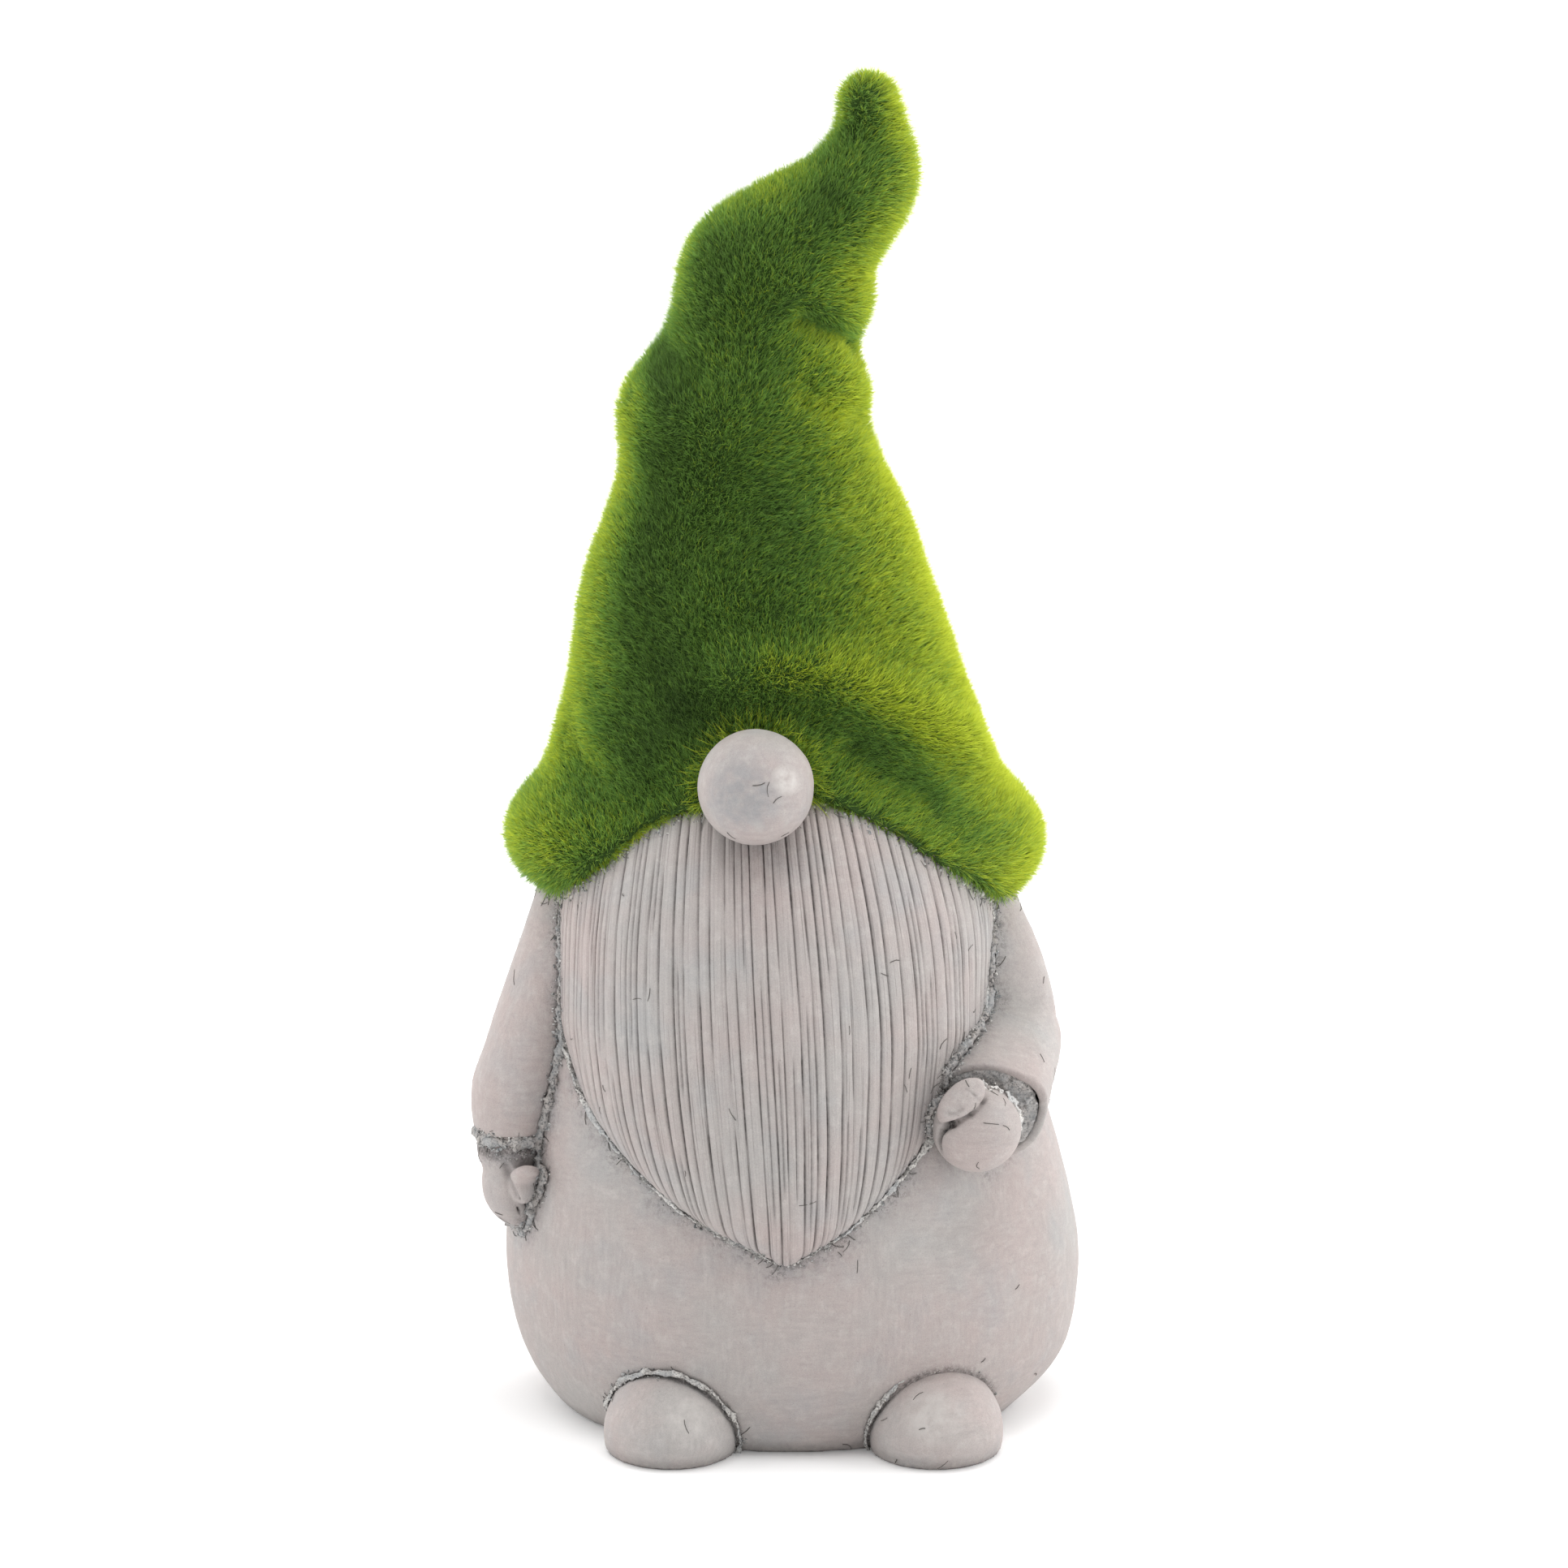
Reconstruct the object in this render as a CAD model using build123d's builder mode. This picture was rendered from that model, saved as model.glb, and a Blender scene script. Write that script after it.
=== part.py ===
"""Garden tomte: a cast-cement gnome, about 300 mm tall, whose tall hat is flocked with green moss pile.

Millimetres, +Z up. The figure faces -Y and its right arm is on -X. The origin is on the ground under the
middle of the figure. Nothing moves: every piece is luted (cemented) to the one that it sits on.
"""

import os

from build123d import *

os.makedirs("parts", exist_ok=True)

# ---- Driving dimensions ------------------------------------------------------------------------------
HEIGHT = 300.0  # ground to the top of the pile on the hat's tip
SPINE_Y = 4.0  # torso and hat stand this far behind the middle of the figure, to balance the feet
TORSO_WALL = 8.0
MORTAR = 1.5  # bed of cement between the hat and the shoulders
LUTING = 1.6  # how far the slip bead spreads on each side of a joint line
PILE = 2.5  # length of the standing flock
COAT = 0.5  # flocking adhesive under it
SKIN = PILE + COAT

# ---- Rings: height, middle of the ring in X, half width, half depth ------------------------------------
TORSO_RINGS = [
    (0, 4.0, 50.0, 44.5),
    (6, 4.0, 55.0, 49.0),
    (32, 3.5, 62.2, 55.0),
    (52, 3.0, 60.6, 53.5),
    (72, 2.4, 57.6, 51.0),
    (95, 2.0, 52.5, 46.5),
    (116, 1.5, 46.5, 41.5),
    (132, 1.0, 43.5, 39.0),
    (146, 0.5, 38.5, 35.0),
    (158, 0.0, 32.5, 29.5),
]
HAT_RINGS = [
    (116, 2.0, 52.9, 46.5),
    (123, 1.5, 57.5, 50.5),
    (130, 0.8, 59.3, 52.0),
    (138, 0.3, 55.7, 49.5),
    (152, -0.2, 47.6, 43.5),
    (170, -1.4, 42.7, 39.0),
    (188, -3.0, 38.0, 34.5),
    (203, -3.0, 32.7, 30.0),
    (214, -4.8, 28.9, 27.0),
    (225, -5.7, 28.3, 25.5),
    (239, -2.1, 22.2, 21.5),
    (254, 1.2, 22.4, 21.0),
    (267, 7.0, 22.0, 19.5),
    (275, 14.6, 17.8, 16.0),
    (282, 20.6, 11.8, 11.2),
    (291, 21.6, 8.1, 8.2),
]
HAT_TIP_X, HAT_TIP_SIZE = 21.2, (8.3, 9.5)  # rounded end: radius, half length
# Arched front edge of the hat over the beard, from the right shoulder to the left: X and height.
HAT_ARCH = [
    (-46, 112), (-42, 122.5), (-30, 135.5), (-14, 146), (2, 149), (20, 143), (34, 133), (46, 124), (51, 112)
]
HAT_HOLLOW_RINGS = [
    (156, -0.3, 35.6, 32.0),
    (170, -1.4, 32.7, 29.0),
    (188, -3.0, 28.0, 24.5),
    (203, -3.0, 22.7, 20.0),
    (216, -5.0, 18.3, 16.5),
    (229, -4.5, 14.5, 13.0),
]
# Beard: height, middle in X, middle in Y, half width, half depth.
BEARD_RINGS = [
    (45.5, 3.2, -50.0, 1.6, 2.0),
    (50, 2.8, -47.0, 10.2, 7.5),
    (55, 1.6, -44.0, 18.8, 12.0),
    (64, 0.4, -38.0, 29.4, 19.0),
    (73, -0.2, -31.0, 37.2, 26.0),
    (82, -0.4, -24.0, 42.0, 32.8),
    (93, 0.5, -17.0, 46.0, 39.4),
    (109, 1.2, -12.0, 47.2, 43.0),
    (124, 1.5, -10.2, 45.8, 41.2),
    (133, 1.4, -9.0, 42.6, 37.4),
    (141, 1.2, -7.6, 38.4, 32.6),
    (149, 0.8, -6.0, 33.0, 28.0),
    (155, 0.4, -5.0, 28.0, 24.0),
]
# Sleeves: height, middle in X, middle in Y, half width, half depth.
RIGHT_SLEEVE_RINGS = [
    (122, -41.5, -3.0, 8.6, 10.5),
    (108, -45.0, -5.0, 9.4, 12.8),
    (90, -50.4, -7.5, 10.2, 13.8),
    (75, -54.4, -8.8, 10.5, 13.8),
    (65, -56.0, -9.2, 9.8, 13.2),
    (61.5, -56.2, -9.4, 8.9, 12.2),
]
LEFT_UPPER_SLEEVE_RINGS = [
    (122, 44.5, -3.0, 9.2, 10.5),
    (108, 46.6, -5.0, 9.5, 11.0),
    (95, 49.4, -7.0, 10.6, 11.4),
    (85, 50.0, -8.6, 10.4, 10.8),
]
LEFT_ELBOW, ELBOW_RADIUS = (49.6, -10.0, 85.0), 12.2
LEFT_CUFF, CUFF_RADIUS = (46.6, -36.6, 75.4), 12.6
CUFF_LIP = 1.8  # thickness of the cuff round the wrist opening
CUFF_DEPTH = 7.0
FREE_FIT = 0.4  # a wrist stops this short of the bottom of its cuff
WRIST_REACH = 5.0  # length of wrist between the left cuff and the middle of the fist

# Right hand, hanging palm inwards: height, middle in X, middle in Y, half width, half depth.
RIGHT_HAND_RINGS = [
    (68, -56.4, -9.6, 5.2, 8.0),
    (61.5, -56.6, -10.0, 5.4, 8.2),
    (57, -56.9, -11.0, 6.1, 9.2),
    (52, -57.0, -11.8, 6.3, 9.5),
    (47.5, -56.2, -11.8, 5.4, 8.4),
    (44.6, -55.0, -11.6, 3.6, 6.0),
    (43.4, -54.4, -11.4, 1.6, 3.0),
]

# ---- Round pieces ------------------------------------------------------------------------------------
NOSE_MIDDLE, NOSE_RADIUS = (-3.4, -46.0, 150.6), 12.8
RIGHT_THUMB_MIDDLE, RIGHT_THUMB_SIZE = (-54.0, -21.4, 55.8), (3.1, 5.0)  # radius, half length
LEFT_FIST_MIDDLE, LEFT_FIST_RADIUS = (44.4, -44.2, 74.0), 9.5
LEFT_THUMB_MIDDLE, LEFT_THUMB_SIZE = (40.8, -50.0, 81.4), (3.6, 6.4)
LEFT_THUMB_TILT = 45.0  # leans towards the cuff
LEFT_WRIST_RADIUS = 6.5
FOOT_SIZE = (14.6, 19.6)  # radius, half length from heel to toe
FOOT_MIDDLE_Y, FOOT_MIDDLE_Z = -39.4, 4.9
FOOT_X = {"right_foot": -21.5, "left_foot": 35.9}

UPRIGHT = (0, 0, 0)
ALONG_Y = (90, 0, 0)
FRONT = 80.0  # reach of a cutter that passes everything in front of the figure


def stack(rings, grow=0.0):
    """Solid through level ellipses on one upright plane, each grown outwards."""
    with BuildPart() as body:
        for height, x, half_width, half_depth in rings:
            with BuildSketch(Plane.XY.offset(height)):
                with Locations((x, SPINE_Y)):
                    Ellipse(half_width + grow, half_depth + grow)
        loft()
    return body.part


def limb(rings, grow=0.0):
    """Solid through level ellipses whose middle also moves in Y."""
    with BuildPart() as body:
        for height, x, y, half_width, half_depth in rings:
            with BuildSketch(Plane.XY.offset(height)):
                with Locations((x, y)):
                    Ellipse(half_width + grow, half_depth + grow)
        loft()
    return body.part


def egg(middle, size, turn, grow=0.0):
    """Ellipse turned about its long axis, which starts along Z and is then rotated by turn."""
    radius, half_length = size
    with BuildPart() as body:
        with BuildSketch(Plane.XZ):
            Ellipse(radius + grow, half_length + grow)
            split(bisect_by=Plane.YZ)
        revolve(axis=Axis.Z)
    return body.part.moved(Location(middle, turn))


def save(piece, name):
    piece.part.label = name
    export_step(piece.part, f"parts/{name}.step")


# ---- Shapes that several pieces share --------------------------------------------------------------------
torso_form = stack(TORSO_RINGS)
mortar_form = stack(TORSO_RINGS, grow=MORTAR)
torso_halo = stack(TORSO_RINGS, grow=LUTING)
beard_form = limb(BEARD_RINGS)


def hat_form(inset):
    """The hat's solid body at a depth below the tips of the pile."""
    with BuildPart() as body:
        add(stack(HAT_RINGS, grow=-inset))
        add(egg((HAT_TIP_X, SPINE_Y, HEIGHT - HAT_TIP_SIZE[1]), HAT_TIP_SIZE, UPRIGHT, grow=-inset))
    return body.part


with BuildPart() as face_arch:  # everything in front of the hat's arched lower edge
    with BuildSketch(Plane.XZ.offset(-SPINE_Y)):
        with BuildLine():
            Spline(*HAT_ARCH)
            Line(HAT_ARCH[-1], HAT_ARCH[0])
        make_face()
    extrude(amount=FRONT)

# ---- Torso --------------------------------------------------------------------------------------------
with BuildPart() as torso_shell:
    add(torso_form)
    add(stack(TORSO_RINGS, grow=-TORSO_WALL), mode=Mode.SUBTRACT)
save(torso_shell, "torso_shell")

# ---- Nose, beard and feet -------------------------------------------------------------------------------
with BuildPart() as nose:
    with Locations(NOSE_MIDDLE):
        Sphere(NOSE_RADIUS)
save(nose, "nose")

with BuildPart() as beard:
    add(beard_form)
    add(torso_form, mode=Mode.SUBTRACT)
    add(nose.part, mode=Mode.SUBTRACT)
save(beard, "beard")

feet = {}
for name, foot_x in FOOT_X.items():
    with BuildPart() as foot:
        add(egg((foot_x, FOOT_MIDDLE_Y, FOOT_MIDDLE_Z), FOOT_SIZE, ALONG_Y))
        split(bisect_by=Plane.XY)
        add(torso_form, mode=Mode.SUBTRACT)
    feet[name] = foot.part
    save(foot, name)

# ---- Right arm: hangs straight down ---------------------------------------------------------------------
with BuildPart() as right_thumb:
    add(egg(RIGHT_THUMB_MIDDLE, RIGHT_THUMB_SIZE, UPRIGHT))
save(right_thumb, "right_thumb")

with BuildPart() as right_hand:
    add(limb(RIGHT_HAND_RINGS))
    add(torso_form, mode=Mode.SUBTRACT)
    add(right_thumb.part, mode=Mode.SUBTRACT)
save(right_hand, "right_hand")

cuff_z, cuff_x, cuff_y, cuff_half_width, cuff_half_depth = RIGHT_SLEEVE_RINGS[-1]
with BuildPart() as right_sleeve:
    add(limb(RIGHT_SLEEVE_RINGS))
    with BuildSketch(Plane.XY.offset(cuff_z)):
        with Locations((cuff_x, cuff_y)):
            Ellipse(cuff_half_width - CUFF_LIP, cuff_half_depth - CUFF_LIP)
    extrude(amount=CUFF_DEPTH, mode=Mode.SUBTRACT)
    for piece in (torso_form, beard.part):
        add(piece, mode=Mode.SUBTRACT)
save(right_sleeve, "right_sleeve")

# ---- Left arm: bent at the elbow, fist held forward -------------------------------------------------------
forearm_reach = Vector(*LEFT_ELBOW) - Vector(*LEFT_CUFF)
forearm_length = forearm_reach.length
cuff_plane = Plane(origin=LEFT_CUFF, z_dir=forearm_reach)
with BuildPart() as forearm:  # a cone from the cuff with a ball end at the elbow, along +Z
    with BuildSketch(Plane.XZ):
        with BuildLine():
            Polyline((0, 0), (CUFF_RADIUS, 0), (ELBOW_RADIUS, forearm_length))
            CenterArc((0, forearm_length), ELBOW_RADIUS, 0, 90)
            Line((0, forearm_length + ELBOW_RADIUS), (0, 0))
        make_face()
    revolve(axis=Axis.Z)

with BuildPart() as left_thumb:
    add(egg(LEFT_THUMB_MIDDLE, LEFT_THUMB_SIZE, (0, LEFT_THUMB_TILT, 0)))
save(left_thumb, "left_thumb")

with BuildPart() as left_fist:
    with Locations(LEFT_FIST_MIDDLE):
        Sphere(LEFT_FIST_RADIUS)
    with BuildSketch(cuff_plane.offset(-WRIST_REACH)):
        Circle(LEFT_WRIST_RADIUS)
    extrude(amount=WRIST_REACH + CUFF_DEPTH - FREE_FIT)
    for piece in (torso_form, beard.part, left_thumb.part):
        add(piece, mode=Mode.SUBTRACT)
save(left_fist, "left_fist")

with BuildPart() as left_sleeve:
    add(limb(LEFT_UPPER_SLEEVE_RINGS))
    add(forearm.part.moved(cuff_plane.location))
    with BuildSketch(cuff_plane):
        Circle(CUFF_RADIUS - CUFF_LIP)
    extrude(amount=CUFF_DEPTH, mode=Mode.SUBTRACT)
    for piece in (torso_form, beard.part):
        add(piece, mode=Mode.SUBTRACT)
save(left_sleeve, "left_sleeve")

# ---- Slip beads squeezed out along the joint lines --------------------------------------------------------
with BuildPart() as beard_luting:
    add(limb(BEARD_RINGS, grow=LUTING))
    add(torso_halo, mode=Mode.INTERSECT)
    split(bisect_by=Plane.XY.offset(HAT_RINGS[0][0] - LUTING), keep=Keep.BOTTOM)
    for piece in (torso_form, beard_form, right_sleeve.part, left_sleeve.part, left_fist.part):
        add(piece, mode=Mode.SUBTRACT)
save(beard_luting, "beard_luting")

for name, foot_x in FOOT_X.items():
    with BuildPart() as foot_luting:
        add(egg((foot_x, FOOT_MIDDLE_Y, FOOT_MIDDLE_Z), FOOT_SIZE, ALONG_Y, grow=LUTING))
        add(torso_halo, mode=Mode.INTERSECT)
        split(bisect_by=Plane.XY)
        add(torso_form, mode=Mode.SUBTRACT)
        add(feet[name], mode=Mode.SUBTRACT)
    save(foot_luting, f"{name}_luting")

# ---- Hat: hollow cast cone on a bed of mortar, then two skins ---------------------------------------------
with BuildPart() as hat_mortar:
    add(mortar_form)
    split(bisect_by=Plane.XY.offset(HAT_RINGS[0][0]))
    split(bisect_by=Plane.XY.offset(HAT_HOLLOW_RINGS[0][0]), keep=Keep.BOTTOM)
    for piece in (torso_form, beard.part, right_sleeve.part, left_sleeve.part):
        add(piece, mode=Mode.SUBTRACT)
save(hat_mortar, "hat_mortar")

under_hat = (mortar_form, face_arch.part, beard_form, nose.part, right_sleeve.part, left_sleeve.part)
hat_layers = {
    "hat_core": (hat_form(SKIN), stack(HAT_HOLLOW_RINGS)),
    "hat_adhesive_coat": (hat_form(PILE), hat_form(SKIN)),
    "hat_flock_pile": (hat_form(0), hat_form(PILE)),
}
for name, (outside, inside) in hat_layers.items():
    with BuildPart() as hat_layer:
        add(outside)
        add(inside, mode=Mode.SUBTRACT)
        for piece in under_hat:
            add(piece, mode=Mode.SUBTRACT)
    save(hat_layer, name)
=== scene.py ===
"""Looks of the garden tomte: brushed cast cement, a combed beard, crusty joint lines and a moss-flocked hat.

Metres, +Z up, the figure faces -Y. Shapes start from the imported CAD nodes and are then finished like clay.
"""

import bmesh
import bpy
import numpy as np
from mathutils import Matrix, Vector
from mathutils.bvhtree import BVHTree
from mathutils.kdtree import KDTree


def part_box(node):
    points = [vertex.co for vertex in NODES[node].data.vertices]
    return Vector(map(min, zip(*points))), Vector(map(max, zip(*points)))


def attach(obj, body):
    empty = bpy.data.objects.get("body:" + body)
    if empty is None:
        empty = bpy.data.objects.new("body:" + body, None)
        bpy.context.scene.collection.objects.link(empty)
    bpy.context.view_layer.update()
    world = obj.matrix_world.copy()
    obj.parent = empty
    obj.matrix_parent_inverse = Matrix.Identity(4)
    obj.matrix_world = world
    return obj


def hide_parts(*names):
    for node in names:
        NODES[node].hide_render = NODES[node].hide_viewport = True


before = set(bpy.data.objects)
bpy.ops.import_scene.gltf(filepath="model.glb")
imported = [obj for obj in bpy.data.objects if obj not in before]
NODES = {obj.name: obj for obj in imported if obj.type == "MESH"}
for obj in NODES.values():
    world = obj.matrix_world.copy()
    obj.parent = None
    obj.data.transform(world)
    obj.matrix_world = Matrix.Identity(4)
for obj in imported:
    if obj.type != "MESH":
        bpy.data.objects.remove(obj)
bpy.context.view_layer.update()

MM = 0.001
SCENE = bpy.context.scene
BODY = "root"


# ---- Numbers on many points at once ----
def lattice(cells, seed):
    """A fixed pseudo-random number from -1 to 1 for each integer cell."""
    x, y, z = (cells[:, i].astype(np.int64) for i in range(3))
    h = (x * 73856093) ^ (y * 19349663) ^ (z * 83492791) ^ (seed * 2654435761)
    h = (h ^ (h >> 13)) * 1274126177 & 0xFFFFFFFF
    h = (h ^ (h >> 16)) & 0xFFFFFF
    return h / float(0x7FFFFF) - 1.0


def noise(points, size, seed, stretch=(1, 1, 1)):
    """Smooth noise from -1 to 1 with lumps of the given size in metres, drawn out by stretch."""
    scaled = points / (size * np.array(stretch, float))
    cell = np.floor(scaled)
    part = scaled - cell
    ease = part * part * (3 - 2 * part)
    total = np.zeros(len(points))
    for corner in range(8):
        step = np.array([corner & 1, corner >> 1 & 1, corner >> 2 & 1])
        weight = np.prod(np.where(step, ease, 1 - ease), axis=1)
        total += weight * lattice(cell + step, seed)
    return total


def rough(points, size, seed, octaves=3, stretch=(1, 1, 1)):
    """Fractal noise, about -1 to 1."""
    total = sum(noise(points, size / 2**k, seed + 17 * k, stretch) / 2**k for k in range(octaves))
    return total / (2 - 0.5 ** (octaves - 1))


def along_path(points, path):
    """Distance from each point to a polyline, and how far along it (0 to 1) the nearest place is."""
    path = np.array(path, float)
    best = np.full(len(points), np.inf)
    place = np.zeros(len(points))
    for i, (a, b) in enumerate(zip(path[:-1], path[1:])):
        t = np.clip(((points - a) @ (b - a)) / max((b - a) @ (b - a), 1e-12), 0, 1)
        d = np.linalg.norm(points - (a + t[:, None] * (b - a)), axis=1)
        near = d < best
        best[near] = d[near]
        place[near] = (i + t[near]) / (len(path) - 1)
    return best, place


def unit(v):
    return v / np.maximum(np.linalg.norm(v, axis=-1, keepdims=True), 1e-12)


def ease(value, low, high):
    """0 below low, 1 above high, smooth between."""
    part = np.clip((value - low) / (high - low), 0, 1)
    return part * part * (3 - 2 * part)


def bell(distance, width):
    """1 at no distance, smoothly falling to 0 over a few widths."""
    return np.exp(-((distance / width) ** 2))


# ---- Meshes ----
def triples(items, key, kind=np.float32):
    """Three numbers of each vertex or triangle."""
    values = np.empty(len(items) * 3, kind)
    items.foreach_get(key, values)
    return values.reshape(-1, 3)


def points_of(mesh):
    return triples(mesh.vertices, "co").astype(float)


def normals_of(mesh):
    return triples(mesh.vertices, "normal").astype(float)


def triangles_of(mesh):
    mesh.calc_loop_triangles()
    return triples(mesh.loop_triangles, "vertices", np.int32)


def move_points(mesh, points):
    mesh.vertices.foreach_set("co", points.astype(np.float32).ravel())
    mesh.update()


def swell(mesh, push):
    """Moves each point out along its normal by its own number of millimetres."""
    move_points(mesh, points_of(mesh) + normals_of(mesh) * (push * MM)[:, None])


def rest_on_ground(mesh):
    """Flattens whatever would reach below the ground."""
    points = points_of(mesh)
    points[:, 2] = points[:, 2].clip(0)
    move_points(mesh, points)


def add_piece(name, mesh, material, stands_for=()):
    rest_on_ground(mesh)
    piece = bpy.data.objects.new(name, mesh)
    SCENE.collection.objects.link(piece)
    mesh.materials.clear()
    mesh.materials.append(material)
    mesh.polygons.foreach_set("use_smooth", [True] * len(mesh.polygons))
    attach(piece, BODY)
    if stands_for:
        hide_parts(*stands_for)
    return piece


def mesh_from(name, points, faces):
    """Mesh from arrays; every face has the same number of corners."""
    points, faces = np.asarray(points, np.float32), np.asarray(faces, np.int32)
    mesh = bpy.data.meshes.new(name)
    mesh.vertices.add(len(points))
    mesh.vertices.foreach_set("co", points.ravel())
    corners = faces.shape[1]
    mesh.loops.add(faces.size)
    mesh.loops.foreach_set("vertex_index", faces.ravel())
    mesh.polygons.add(len(faces))
    mesh.polygons.foreach_set("loop_start", np.arange(len(faces), dtype=np.int32) * corners)
    mesh.update(calc_edges=True)
    return mesh


def set_attribute(mesh, name, values):
    held = mesh.attributes.get(name) or mesh.attributes.new(name, "FLOAT", "POINT")
    held.data.foreach_set("value", np.asarray(values, np.float32))


def get_attribute(mesh, name):
    values = np.zeros(len(mesh.vertices), np.float32)
    if name in mesh.attributes:
        mesh.attributes[name].data.foreach_get("value", values)
    return values


def clay(source, voxel, smoothing):
    """A copy of a mesh with even small faces, voxel millimetres wide, and softened edges."""
    block = bpy.data.objects.new("clay", source.copy())
    SCENE.collection.objects.link(block)
    remesh = block.modifiers.new("remesh", "REMESH")
    remesh.mode, remesh.voxel_size, remesh.use_smooth_shade = "VOXEL", voxel * MM, True
    soften = block.modifiers.new("soften", "SMOOTH")
    soften.factor, soften.iterations = 0.5, smoothing
    shape = block.evaluated_get(bpy.context.evaluated_depsgraph_get())
    mesh = bpy.data.meshes.new_from_object(shape)
    bpy.data.objects.remove(block)
    return mesh


def tree(mesh):
    return BVHTree.FromPolygons([v.co for v in mesh.vertices], [p.vertices for p in mesh.polygons])


def gap(points, other):
    """Distance from each point to the nearest surface in a tree, in metres, up to 20 mm."""
    near = (other.find_nearest(p, 20 * MM)[3] for p in points.tolist())
    return np.array([20 * MM if d is None else d for d in near])


def nearest(points, shape):
    """The place on a surface nearest to each point, and which way it faces there."""
    found = [shape.find_nearest(Vector(p)) for p in points]
    return np.array([f[0] for f in found]), np.array([f[1] for f in found])


def carve(mesh, path, width, depth, crease_shade=0.0):
    """Presses a groove along a path, or raises a ridge where depth is negative; sizes in millimetres. The
    last argument paints shade into the groove, as the groove attribute.
    """
    distance, place = along_path(points_of(mesh), np.array(path) * MM)
    ends = np.clip(np.minimum(place, 1 - place) * 8, 0.15, 1)
    share = bell(distance, width * MM) * ends
    swell(mesh, share * -depth)
    if crease_shade:
        set_attribute(mesh, "groove", np.maximum(get_attribute(mesh, "groove"), share * crease_shade))


# ---- Materials ----
class Nodes:
    """Short names for building one material's node tree."""

    def __init__(self, name):
        self.material = bpy.data.materials.new(name)
        self.material.use_nodes = True
        self.tree = self.material.node_tree
        self.shader = self.tree.nodes["Principled BSDF"]
        self.place = self.add("ShaderNodeTexCoord").outputs["Object"]

    def add(self, kind, **inputs):
        node = self.tree.nodes.new(kind)
        for key, value in inputs.items():
            self.set(node.inputs[key.replace("_", " ")], value)
        return node

    def set(self, socket, value):
        if isinstance(value, bpy.types.NodeSocket):
            self.tree.links.new(value, socket)
        else:
            socket.default_value = value

    def math(self, operation, a, b=0.0, clamp=False):
        node = self.tree.nodes.new("ShaderNodeMath")
        node.operation, node.use_clamp = operation, clamp
        self.set(node.inputs[0], a)
        self.set(node.inputs[1], b)
        return node.outputs[0]

    def times(self, a, b, clamp=False):
        return self.math("MULTIPLY", a, b, clamp)

    def stretched(self, scale, turn=(0, 0, 0)):
        return self.add("ShaderNodeMapping", Vector=self.place, Rotation=turn, Scale=scale).outputs[0]

    def noise(self, size, detail=3.0, roughness=0.55, vector=None):
        """Noise from 0 to 1 with lumps of a size in millimetres."""
        node = self.add("ShaderNodeTexNoise", Vector=vector or self.place, Scale=1000.0 / size,
                        Detail=detail, Roughness=roughness)
        return node.outputs["Fac"]

    def range(self, value, low, high, to_low=0.0, to_high=1.0):
        return self.add("ShaderNodeMapRange", Value=value, From_Min=low, From_Max=high,
                        To_Min=to_low, To_Max=to_high).outputs[0]

    def mix(self, factor, a, b, blend="MIX"):
        node = self.tree.nodes.new("ShaderNodeMix")
        node.data_type, node.blend_type = "RGBA", blend
        self.set(node.inputs[0], factor)
        self.set(node.inputs[6], a if isinstance(a, bpy.types.NodeSocket) else (*a, 1))
        self.set(node.inputs[7], b if isinstance(b, bpy.types.NodeSocket) else (*b, 1))
        return node.outputs[2]

    def attribute(self, name):
        node = self.add("ShaderNodeAttribute")
        node.attribute_name = name
        return node.outputs["Fac"]

    def streaks(self, size, slowness):
        """Noise drawn out along the combed strands; size across them in millimetres."""
        apart = self.add("ShaderNodeSeparateXYZ", Vector=self.place)
        across = self.times(self.attribute("comb"), 1 / size)
        height = self.times(apart.outputs["Z"], 1000 * slowness / size)
        place = self.add("ShaderNodeCombineXYZ", X=across, Z=height)
        node = self.add("ShaderNodeTexNoise", Vector=place.outputs[0], Scale=1.0, Detail=3.0)
        return node.outputs["Fac"]

    def bump(self, height, depth, before=None):
        """Surface relief; depth is in millimetres for a height of 1."""
        node = self.add("ShaderNodeBump", Height=height, Distance=depth * MM)
        if before:
            self.tree.links.new(before, node.inputs["Normal"])
        return node.outputs[0]

    def blend(self, factor, a, b):
        """Number between a and b."""
        node = self.tree.nodes.new("ShaderNodeMix")
        self.set(node.inputs[0], factor)
        self.set(node.inputs[2], a)
        self.set(node.inputs[3], b)
        return node.outputs[0]

    def grey(self, value):
        """A grey colour from one value."""
        node = self.add("ShaderNodeCombineColor")
        for i in range(3):
            self.set(node.inputs[i], value)
        return node.outputs[0]

    def near(self, middle, radius):
        """1 at the heart of a ball whose middle and radius are in millimetres, fading to 0 at its rim."""
        away = self.add("ShaderNodeVectorMath")
        away.operation = "DISTANCE"
        self.set(away.inputs[0], self.place)
        away.inputs[1].default_value = [c * MM for c in middle]
        return self.range(away.outputs["Value"], radius * 0.6 * MM, radius * 1.2 * MM, 1.0, 0.0)

    def recesses(self, reach, low, high):
        """1 in corners that are narrower than reach, in millimetres, and 0 in the open."""
        cavity = self.add("ShaderNodeAmbientOcclusion", Distance=reach * MM)
        cavity.samples = 8
        return self.range(cavity.outputs["AO"], low, high, 1.0, 0.0)

    def wired(self, colour, roughness, specular=0.5, normal=None):
        """The material, once its shader has these."""
        looks = {"Base Color": colour, "Roughness": roughness, "Specular IOR Level": specular}
        for key, value in looks.items():
            self.set(self.shader.inputs[key], value)
        if normal:
            self.set(self.shader.inputs["Normal"], normal)
        return self.material


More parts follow.
